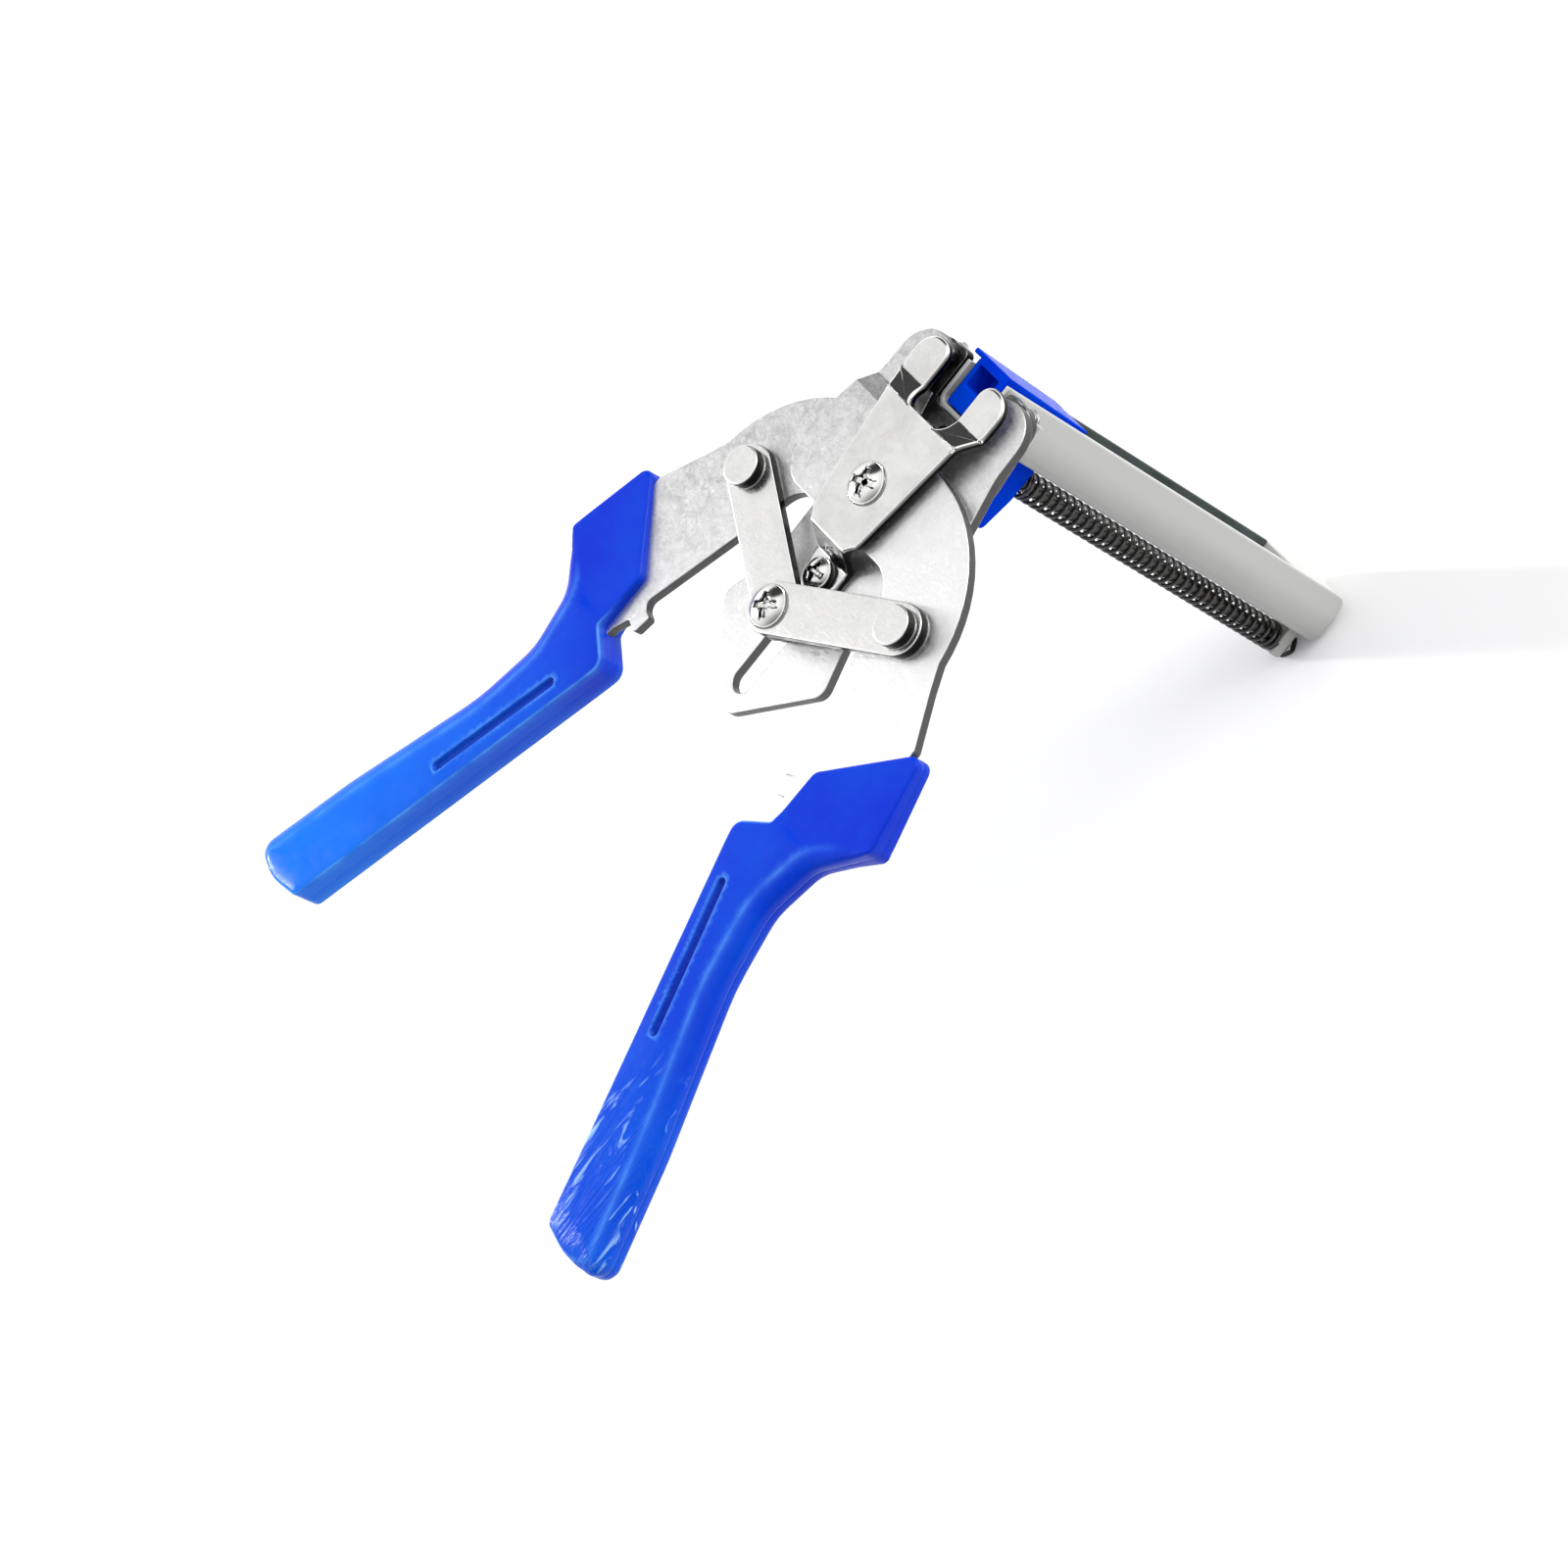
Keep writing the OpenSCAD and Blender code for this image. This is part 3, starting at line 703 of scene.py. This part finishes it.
def grip_heights(points, edge_distance, edge_radius, sizes):
    """Height of a grip's face above its middle plane, in millimetres."""
    x, y = points.T
    shoulder = SHOULDER_Y + SHOULDER_BEND * (x - SHOULDER_X) ** 2
    wedge = HALF_COLLAR + (COLLAR_Y - y) / COLLAR_RUN * (HALF_GRIP - HALF_COLLAR - SHOULDER_STEP)
    body = smooth((shoulder - y) / SHOULDER_RUN + 0.5)
    full = wedge + (HALF_GRIP - wedge) * body
    tall = np.minimum(np.minimum(edge_radius, sizes.flank_drop / MM), 0.62 * full)
    inside = np.clip(1 - edge_distance / edge_radius, 0, 1)
    drop = tall * (1 - np.sqrt(1 - inside ** 2))
    past_edge = np.clip(edge_distance - edge_radius, 0, None)
    crown = CROWN * (1 - np.exp(-past_edge / CROWN_RUN)) - CROWN
    cut = smooth((sizes.groove_width / MM / 2 - groove_distance(points)) / GROOVE_SLOPE)
    return full - drop + crown * body - sizes.groove_depth / MM * cut


def within(points, outline, ahead):
    """Which of the points lie inside the closed outline."""
    crossings = np.zeros(len(points), int)
    for (ax, ay), (bx, by) in zip(outline, ahead):
        cuts = (ay > points[:, 1]) != (by > points[:, 1])
        where = ax + (points[:, 1] - ay) / (by - ay + 1e-12) * (bx - ax)
        crossings += cuts & (points[:, 0] < where)
    return crossings % 2 == 1


def groove_rows(half_groove):
    """Rows of points along the groove's walls and round its ends."""
    a, b = (np.array(p) for p in GROOVE)
    reach = np.linalg.norm(b - a)
    heading = math.atan2(b[1] - a[1], b[0] - a[0])
    rows = []
    for step in WALL_STEPS:
        offset = half_groove + step
        for end, start_angle in ((b, heading - math.pi / 2), (a, heading + math.pi / 2)):
            for k in range(13):
                angle = start_angle + math.pi * k / 12
                rows.append((end + offset * np.array((math.cos(angle), math.sin(angle))))[None])
        for sign in (-1, 1):
            across = np.array((-math.sin(heading), math.cos(heading))) * offset * sign
            t = np.arange(0.5, reach, 0.5) / reach
            rows.append(a + t[:, None] * (b - a) + across)
    return rows


def face_points(outline, ahead, normal, half_groove):
    """Points of a grip's face: rows along its outline, an even grid, and rows along the groove."""
    rows = [outline]
    for depth in ROW_DEPTHS:
        row = outline - normal * depth
        distance, _ = nearest(row, outline, ahead)
        row = row[distance > depth - 0.02]
        rows.append(row if depth < 1 else row[::2])
    lo, hi = outline.min(0), outline.max(0)
    across, along = GRID_STEP
    grid = np.array([(gx, gy + along / 2 * (k % 2))
                     for k, gx in enumerate(np.arange(lo[0], hi[0], across))
                     for gy in np.arange(lo[1], hi[1], along)])
    distance, _ = nearest(grid, outline, ahead)
    clear = np.abs(groove_distance(grid) - half_groove) > 0.55
    rows.append(grid[within(grid, outline, ahead) & (distance > 4.6) & clear])
    return np.vstack(rows + groove_rows(half_groove))


def face_marks(points, distance, reach, half_groove):
    """How much painted highlight along the edges and the groove's lip, and how much painted shade
    inside the groove, each point of the face has.
    """
    crest = reach * (0.3 + 0.5 * smooth((reach - 1) / 2))
    # Painted highlight: a thin light line along the crest of each edge
    ridge = np.exp(-((distance - crest) / (0.1 + 0.12 * reach)) ** 2)
    ridge *= np.where(reach < 1.2, 1.0, 0.5) * smooth((-50 - points[:, 1]) / 10)
    from_groove = groove_distance(points)
    # Painted highlight along the groove's lip
    lip_highlight = np.exp(-((from_groove - half_groove - 0.05) / 0.16) ** 2)
    # Painted shade inside the groove
    hollow = smooth((half_groove - from_groove) / 0.4)
    return {"ridge": np.maximum(ridge, 0.6 * lip_highlight), "hollow": hollow}


def grip_mesh(side, mid_z, sizes):
    """A grip: the same face on both sides of the middle plane, and a wall with a parting line."""
    outline = evenly(rounded_outline(GRIP_CORNERS), OUTLINE_STEP)
    n = len(outline)
    ahead = np.roll(outline, -1, 0)
    tangent = ahead - np.roll(outline, 1, 0)
    normal = np.c_[tangent[:, 1], -tangent[:, 0]] / np.linalg.norm(tangent, axis=1)[:, None]
    outer = smooth((normal[:, 0] + 0.1) / 0.5) * smooth((-47 - outline[:, 1]) / 12)
    radii = (sizes.inner_edge + (sizes.outer_edge - sizes.inner_edge) * outer) / MM
    radii = np.convolve(np.concatenate((radii[-4:], radii, radii[:4])), np.ones(9) / 9, "valid")

    half_groove = sizes.groove_width / MM / 2
    cloud = face_points(outline, ahead, normal, half_groove)
    ring_edges = [(i, (i + 1) % n) for i in range(n)]
    found = delaunay_2d_cdt([Vector(p) for p in cloud], ring_edges, [list(range(n))], 1, 1e-4)
    flat = np.array([tuple(p) for p in found[0]])
    faces = [tuple(f) for f in found[2]]
    distance, which = nearest(flat, outline, ahead)
    height = grip_heights(flat, distance, radii[which], sizes)
    marks = face_marks(flat, distance, radii[which], half_groove)
    count = len(flat)
    verts = [(x, y, z) for (x, y), z in zip(flat, height)]
    verts += [(x, y, -z) for (x, y), z in zip(flat, height)]

    # The wall joins the borders of the two faces
    half_edges = {(f[i], f[(i + 1) % 3]) for f in faces for i in range(3)}
    border = [(i, j) for i, j in half_edges if (j, i) not in half_edges]
    seam = sizes.seam_depth / MM
    rings = {}
    for i, _ in border:
        nx, ny = normal[which[i]]
        x, y = flat[i]
        z = height[i]
        rings[i] = [i]
        levels = ((0.5, 0), (SEAM_HALF / z, 0), (0.0, seam), (-SEAM_HALF / z, 0), (-0.5, 0))
        for level, inset in levels:
            rings[i].append(len(verts))
            verts.append((x - nx * inset, y - ny * inset, z * level))
        rings[i].append(i + count)
    all_faces = list(faces) + [tuple(reversed([k + count for k in f])) for f in faces]
    for i, j in border:
        for k in range(len(rings[i]) - 1):
            all_faces.append((rings[j][k], rings[i][k], rings[i][k + 1], rings[j][k + 1]))
    if side < 0:
        all_faces = [tuple(reversed(f)) for f in all_faces]
    mesh = bpy.data.meshes.new("Grip")
    places = [(side * x * MM, (y + PIVOT_Y) * MM, (z + mid_z) * MM) for x, y, z in verts]
    mesh.from_pydata(places, [], all_faces)
    for label, values in marks.items():
        both = np.zeros(len(verts))
        both[:2 * count] = np.tile(values, 2)
        mesh.attributes.new(label, "FLOAT", "POINT").data.foreach_set("value", both)
    bm = opened(mesh)
    bmesh.ops.recalc_face_normals(bm, faces=bm.faces)
    closed(bm, mesh)
    mesh.validate()
    return mesh


class PLIERS_OT_grips(bpy.types.Operator):
    """Make both moulded grips, with their soft outer edge, groove and parting line"""
    bl_idname = "pliers.grips"
    bl_label = "Grips"

    def execute(self, context):
        sizes = context.scene.pliers_grips
        for side, word in ((1, "right"), (-1, "left")):
            mid = middle(f"grip_{word}").z / MM
            mesh = grip_mesh(side, mid, sizes)
            shown(mesh, f"grip_{word}_moulded", "moulded", [f"grip_{word}"])
        return {"FINISHED"}


# ---------------------------------------------------------------- plates and links

class PLIERS_OT_plates(bpy.types.Operator):
    """Make the pressed handle plates and the rear plate with rolled edges"""
    bl_idname = "pliers.plates"
    bl_label = "Plates"

    def execute(self, context):
        width = context.scene.pliers_metal.plate_edge
        for node in ("handle_plate_right", "handle_plate_left", "rear_plate"):
            softened(node, node + "_pressed", width, "zinc")
        return {"FINISHED"}


class PLIERS_OT_cover(bpy.types.Operator):
    """Make the polished front cover with its bends and bright edges"""
    bl_idname = "pliers.cover"
    bl_label = "Front cover"

    def execute(self, context):
        sizes = context.scene.pliers_metal
        softened("front_cover", "front_cover_polished", sizes.cover_edge, "nickel", 3,
                 rim=sizes.cover_rim)
        return {"FINISHED"}


class PLIERS_OT_links(bpy.types.Operator):
    """Make the two links and the plain rings on the pins"""
    bl_idname = "pliers.links"
    bl_label = "Links"

    def execute(self, context):
        width = context.scene.pliers_metal.plate_edge
        for node in ("link_right", "link_left"):
            softened(node, node + "_plated", width * 1.2, "brushed")
        for node in ("pivot_washer", "slot_spacer", "slot_washer"):
            softened(node, node + "_turned", width * 0.6, "brushed")
        return {"FINISHED"}


# ---------------------------------------------------------------- fasteners

class PLIERS_OT_rivets(bpy.types.Operator):
    """Make the flat link rivets and the magazine rivets with their tapered heads"""
    bl_idname = "pliers.rivets"
    bl_label = "Rivets"

    def execute(self, context):
        width = context.scene.pliers_metal.head_edge
        for node in ("link_rivet_right", "link_rivet_left"):
            softened(node, node + "_headed", width * 2.4, "brushed", 3)
        softened("magazine_rivets", "magazine_rivets_headed", width, "brushed")
        return {"FINISHED"}


def screw_tree():
    """Pan head with a cross recess on a plain shank, its head's underside at zero."""
    tree, given, out = new_group(
        "Pan head screw", "GeometryNodeTree",
        [("Head radius", "Float", 0.0046), ("Head height", "Float", 0.0019),
         ("Shank radius", "Float", 0.0025), ("Shank length", "Float", 0.014),
         ("Turn", "Float", 0.35), ("Material", "Material", None)],
        [("Geometry", "Geometry")])
    radius, height = given["Head radius"], given["Head height"]
    head = moved(tree, cylinder(tree, radius, height, 64), xyz(tree, z=times(tree, height, 0.5)))
    ball_radius = times(tree, radius, 1.62)
    ball = add(tree, "GeometryNodeMeshUVSphere",
               {"Segments": 64, "Rings": 48, "Radius": ball_radius}).outputs[0]
    ball = moved(tree, ball, xyz(tree, z=math_node(tree, "SUBTRACT", height, ball_radius)))
    head = boolean(tree, "INTERSECT", head, ball)
    arm_size = xyz(tree, times(tree, radius, 1.16), times(tree, radius, 0.25),
                   times(tree, height, 1.5))
    cross = []
    for quarter in (0.0, math.pi / 2):
        arm = add(tree, "GeometryNodeMeshCube", {"Size": arm_size}).outputs["Mesh"]
        cross.append(moved(tree, arm, xyz(tree, z=times(tree, height, 1.12)),
                           xyz(tree, z=plus(tree, given["Turn"], quarter))))
    middle_bit = add(tree, "GeometryNodeMeshCone", {
        "Vertices": 24, "Radius Top": times(tree, radius, 0.42),
        "Radius Bottom": times(tree, radius, 0.12),
        "Depth": times(tree, height, 0.8)}).outputs["Mesh"]
    cross.append(moved(tree, middle_bit, xyz(tree, z=times(tree, height, 0.3))))
    head = boolean(tree, "DIFFERENCE", head, *cross)
    shank = cylinder(tree, given["Shank radius"], given["Shank length"], 48)
    shank = moved(tree, shank, xyz(tree, z=times(tree, given["Shank length"], -0.5)))
    both = add(tree, "GeometryNodeJoinGeometry")
    for part in (head, shank):
        tree.links.new(part, both.inputs[0])
    return closing_nodes(tree, both.outputs[0], given, out)


# Head height and shank diameter of each screw in millimetres, and its recess's turn in radians
SCREWS = {"pivot_screw": (1.9, 5.0, 0.35), "slot_screw": (1.9, 5.0, 0.6),
          "tab_screw": (2.4, 3.0, 0.15)}


class PLIERS_OT_screws(bpy.types.Operator):
    """Make the three pan head screws with their cross recesses"""
    bl_idname = "pliers.screws"
    bl_label = "Screws"

    def execute(self, context):
        tree = screw_tree()
        edge = context.scene.pliers_metal.head_edge
        for node, (height, shank, turn) in SCREWS.items():
            lo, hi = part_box(node)
            mesh = evaluated(tree, {
                "Head radius": (hi.x - lo.x) / 2, "Head height": height * MM,
                "Shank radius": shank * MM / 2, "Shank length": hi.z - height * MM - lo.z,
                "Turn": turn, "Material": material("nickel")}, node)
            bm = opened(mesh)
            rounded_edges(bm, edge, 2, 32.0)
            centre = middle(node)
            bmesh.ops.translate(bm, verts=bm.verts, vec=(centre.x, centre.y, hi.z - height * MM))
            shown(closed(bm, mesh), node + "_headed", "screw", [node])
        return {"FINISHED"}


def nut_tree():
    """Hexagon nut with chamfered corners on both faces, its lower face at zero."""
    tree, given, out = new_group(
        "Hexagon nut", "GeometryNodeTree",
        [("Across corners", "Float", 0.008), ("Height", "Float", 0.003),
         ("Bore radius", "Float", 0.0025), ("Material", "Material", None)],
        [("Geometry", "Geometry")])
    corner = times(tree, given["Across corners"], 0.5)
    height = given["Height"]
    body = cylinder(tree, corner, height, 6)
    flare = plus(tree, times(tree, corner, 0.9), height)
    cones = []
    for turn in (0.0, math.pi):
        cone = add(tree, "GeometryNodeMeshCone", {
            "Vertices": 64, "Radius Top": times(tree, corner, 0.88), "Radius Bottom": flare,
            "Depth": height}).outputs["Mesh"]
        cone = moved(tree, cone, xyz(tree, z=times(tree, height, -0.5)))
        cones.append(moved(tree, cone, turn=xyz(tree, turn)))
    body = boolean(tree, "INTERSECT", body, *cones)
    hole = cylinder(tree, given["Bore radius"], times(tree, height, 1.4), 48)
    body = boolean(tree, "DIFFERENCE", body, hole)
    body = moved(tree, body, xyz(tree, z=times(tree, height, 0.5)))
    return closing_nodes(tree, body, given, out)


# Width across flats, height and bore of each nut, in millimetres
NUTS = {"pivot_nut": (8.0, 3.2, 5.04), "tab_nut": (5.5, 2.4, 3.04), "slot_nut": (7.0, 3.2, 5.04),
        "rod_nut": (5.2, 2.0, 3.04)}
FLANGE_RADIUS = 5.25


class PLIERS_OT_nuts(bpy.types.Operator):
    """Make the four hexagon nuts, the pivot's with a round flange"""
    bl_idname = "pliers.nuts"
    bl_label = "Nuts"

    def execute(self, context):
        tree = nut_tree()
        edge = context.scene.pliers_metal.head_edge
        for node, (across, height, bore) in NUTS.items():
            lo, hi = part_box(node)
            mesh = evaluated(tree, {
                "Across corners": across * MM / math.cos(math.pi / 6), "Height": height * MM,
                "Bore radius": bore * MM / 2, "Material": material("nickel")}, node)
            bm = opened(mesh)
            rounded_edges(bm, edge * 0.6, 2, 22.0)
            centre = middle(node)
            bmesh.ops.translate(bm, verts=bm.verts, vec=(centre.x, centre.y, lo.z))
            if node == "pivot_nut":
                thick = hi.z - lo.z - height * MM
                made = bmesh.ops.create_cone(
                    bm, cap_ends=True, segments=64, radius1=FLANGE_RADIUS * MM,
                    radius2=FLANGE_RADIUS * MM, depth=thick)["verts"]
                bmesh.ops.translate(bm, verts=made, vec=(centre.x, centre.y, hi.z - thick / 2))
                rim = [e for e in {e for v in made for e in v.link_edges} if turn_of(e) > 1.0]
                bevel(bm, rim, edge)
            shown(closed(bm, mesh), node + "_cut", "nickel", [node])
        return {"FINISHED"}


# ---------------------------------------------------------------- magazine

class PLIERS_OT_magazine(bpy.types.Operator):
    """Make the painted trough, its end block, the dark rail, the rod and the pin"""
    bl_idname = "pliers.magazine"
    bl_label = "Magazine"

    def execute(self, context):
        for node, width, finish in (("magazine_trough", 0.2, "paint"), ("end_block", 0.45, "paint"),
                                    ("nail_rail", 0.2, "rail"), ("guide_rod", 0.3, "steel"),
                                    ("end_block_pin", 0.15, "brushed")):
            softened(node, node + "_finished", width * MM, finish)
        return {"FINISHED"}


def spring_tree():
    """Compression spring along Z from zero to Length, with closed turns at both ends."""
    tree, given, out = new_group(
        "Compression spring", "GeometryNodeTree",
        [("Coil radius", "Float", 0.0028), ("Wire radius", "Float", 0.0004),
         ("Length", "Float", 0.09), ("Turns", "Float", 38.0), ("Closed turns", "Float", 1.5),
         ("Material", "Material", None)],
        [("Geometry", "Geometry")])
    turns, wire = given["Turns"], given["Wire radius"]
    coil = add(tree, "GeometryNodeCurveSpiral", {
        "Resolution": 30, "Rotations": turns, "Start Radius": given["Coil radius"],
        "End Radius": given["Coil radius"], "Height": 1.0}).outputs[0]
    position = add(tree, "GeometryNodeInputPosition").outputs[0]
    place = add(tree, "ShaderNodeSeparateXYZ", {0: position}).outputs
    share = math_node(tree, "DIVIDE", given["Closed turns"], turns)
    rest = math_node(tree, "SUBTRACT", 1.0, share)
    closed_height = times(tree, times(tree, given["Closed turns"], wire), 2.1)
    near = ramp(tree, place["Z"], 0.0, share, 0.0, closed_height)
    far = ramp(tree, place["Z"], rest, 1.0, 0.0, closed_height)
    ends = plus(tree, times(tree, closed_height, 2.0), times(tree, wire, 2.0))
    body = ramp(tree, place["Z"], share, rest, 0.0,
                math_node(tree, "SUBTRACT", given["Length"], ends))
    height = plus(tree, plus(tree, near, far), plus(tree, body, wire))
    coil = add(tree, "GeometryNodeSetPosition", {
        "Geometry": coil, "Position": xyz(tree, place["X"], place["Y"], height)}).outputs[0]
    section = add(tree, "GeometryNodeCurvePrimitiveCircle", {"Resolution": 10, "Radius": wire})
    tube = add(tree, "GeometryNodeCurveToMesh", {
        "Curve": coil, "Profile Curve": section.outputs[0], "Fill Caps": True}).outputs[0]
    return closing_nodes(tree, tube, given, out)


class PLIERS_OT_spring(bpy.types.Operator):
    """Make the feed spring"""
    bl_idname = "pliers.spring"
    bl_label = "Feed spring"

    def execute(self, context):
        sizes = context.scene.pliers_spring
        lo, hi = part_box("feed_spring")
        length = hi.z - lo.z
        radius = (hi.x - lo.x) / 2 - sizes.wire / 2
        mesh = evaluated(spring_tree(), {
            "Coil radius": radius, "Wire radius": sizes.wire / 2, "Length": length,
            "Turns": float(sizes.turns), "Closed turns": sizes.closed_turns,
            "Material": material("steel")}, "feed_spring")
        centre = middle("feed_spring")
        bm = opened(mesh)
        bmesh.ops.translate(bm, verts=bm.verts, vec=(centre.x, centre.y, lo.z))
        bmesh.ops.recalc_face_normals(bm, faces=bm.faces)
        spring = shown(closed(bm, mesh), "feed_spring_coiled", "steel", ["feed_spring"])
        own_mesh(spring)
        return {"FINISHED"}


class PLIERS_OT_follower(bpy.types.Operator):
    """Make the plastic follower with softened mouldings"""
    bl_idname = "pliers.follower"
    bl_label = "Follower"

    def execute(self, context):
        softened("follower", "follower_moulded", 0.3 * MM, "follower", 3)
        return {"FINISHED"}


# ---------------------------------------------------------------- stage

# Camera's place in millimetres, its turn in degrees and its focal length
CAMERA_PLACE = (709.3, 111.9, 788.7)
CAMERA_TURN = (22.2268, 36.5359, 50.1629)
CAMERA_LENS = 128.22
FLOOR_HALF = 3.0
FLOOR_TONE = (0.93, 0.93, 0.93, 1)
# Grey cards around the studio: direction, cosines at which each fades in and is full, and tone.
# One over the left gives tone to the flat metal, a broad one on the right models the sides of
# the grips, and one ahead of the jaws darkens the bends
CARDS = (((-0.643, -0.181, 0.744), 0.70, 0.985, 0.66),
         ((0.84, -0.46, 0.29), 0.15, 0.85, 0.22),
         ((-0.663, 0.512, 0.546), 0.90, 0.965, 0.04))
# Lamps: name, place, size and share of the key light's power; both look at the same point
LAMPS = (("Key", (-1.0, -0.75, 0.55), (0.06, 0.9), 1.0),
         ("Rim", (0.35, 0.9, 0.5), (0.5, 0.5), 0.5))
LAMP_AIM = Vector((0.0, -0.09, 0.0))


class PLIERS_OT_stage(bpy.types.Operator):
    """Make the pale floor, the studio light and the camera"""
    bl_idname = "pliers.stage"
    bl_label = "Stage"

    def execute(self, context):
        scene, sizes = context.scene, context.scene.pliers_stage
        scene.view_settings.view_transform = "Standard"
        mesh = bpy.data.meshes.new("Floor")
        half, low = FLOOR_HALF, CAD_BOX[0].z
        corners = [(-half, -half, low), (half, -half, low), (half, half, low), (-half, half, low)]
        mesh.from_pydata(corners, [], [(0, 1, 2, 3)])
        floor = bpy.data.objects.new("Floor", mesh)
        scene.collection.objects.link(floor)
        surface, tree, shader, *_ = new_material("Pale floor")
        shader.inputs["Base Color"].default_value = FLOOR_TONE
        shader.inputs["Roughness"].default_value = 0.9
        shader.inputs["Specular IOR Level"].default_value = 0.0
        mesh.materials.append(surface)

        world = bpy.data.worlds.new("Studio")
        scene.world = world
        world.use_nodes = True
        tree = world.node_tree
        tree.nodes.clear()
        way = add(tree, "ShaderNodeTexCoord").outputs["Generated"]
        strength = None
        for axis, edge, core, dark in CARDS:
            facing = add(tree, "ShaderNodeVectorMath", {0: way, 1: axis}, operation="DOT_PRODUCT")
            card = ramp(tree, facing.outputs["Value"], edge, core, 1.0, dark, smooth=True)
            strength = card if strength is None else times(tree, strength, card)
        strength = times(tree, strength, sizes.light)
        background = add(tree, "ShaderNodeBackground", {"Color": (1, 1, 1, 1), "Strength": strength})
        add(tree, "ShaderNodeOutputWorld", {"Surface": background.outputs[0]})

        for name, place, size, share in LAMPS:
            lamp = bpy.data.lights.new(name, "AREA")
            lamp.shape = "RECTANGLE"
            lamp.size, lamp.size_y = size
            lamp.energy = sizes.key * share
            light = bpy.data.objects.new(name, lamp)
            light.location = place
            aim = LAMP_AIM - Vector(place)
            light.rotation_euler = aim.to_track_quat("-Z", "Y").to_euler()
            scene.collection.objects.link(light)

        camera = bpy.data.cameras.new("Camera")
        camera.lens = CAMERA_LENS
        camera.sensor_width = 36.0
        camera.clip_start, camera.clip_end = 0.05, 20.0
        holder = bpy.data.objects.new("Camera", camera)
        holder.location = Vector(CAMERA_PLACE) * MM
        holder.rotation_euler = [math.radians(a) for a in CAMERA_TURN]
        scene.collection.objects.link(holder)
        scene.camera = holder
        return {"FINISHED"}


# ---------------------------------------------------------------- panel and registration

OPERATORS = (PLIERS_OT_grips, PLIERS_OT_plates, PLIERS_OT_cover, PLIERS_OT_links, PLIERS_OT_rivets,
             PLIERS_OT_screws, PLIERS_OT_nuts, PLIERS_OT_magazine, PLIERS_OT_spring, PLIERS_OT_follower,
             PLIERS_OT_stage)


class PLIERS_PT_panel(bpy.types.Panel):
    """Sizes, colours and makers of the pliers' pieces"""
    bl_idname = "PLIERS_PT_panel"
    bl_label = "Pliers"
    bl_space_type = "VIEW_3D"
    bl_region_type = "UI"
    bl_category = "Pliers"

    def draw(self, context):
        layout = self.layout
        for name, group in GROUPS.items():
            box = layout.box()
            for field in group.__annotations__:
                box.prop(getattr(context.scene, name), field)
        for operator in OPERATORS:
            layout.operator(operator.bl_idname)


CLASSES = (*GROUPS.values(), *OPERATORS, PLIERS_PT_panel)


def register():
    for cls in CLASSES:
        bpy.utils.register_class(cls)
    for name, group in GROUPS.items():
        setattr(bpy.types.Scene, name, PointerProperty(type=group))


def unregister():
    for name in GROUPS:
        delattr(bpy.types.Scene, name)
    for cls in reversed(CLASSES):
        bpy.utils.unregister_class(cls)


def main():
    register()
    for operator in OPERATORS:
        family, action = operator.bl_idname.split(".")
        getattr(getattr(bpy.ops, family), action)()


if __name__ == "__main__":
    main()
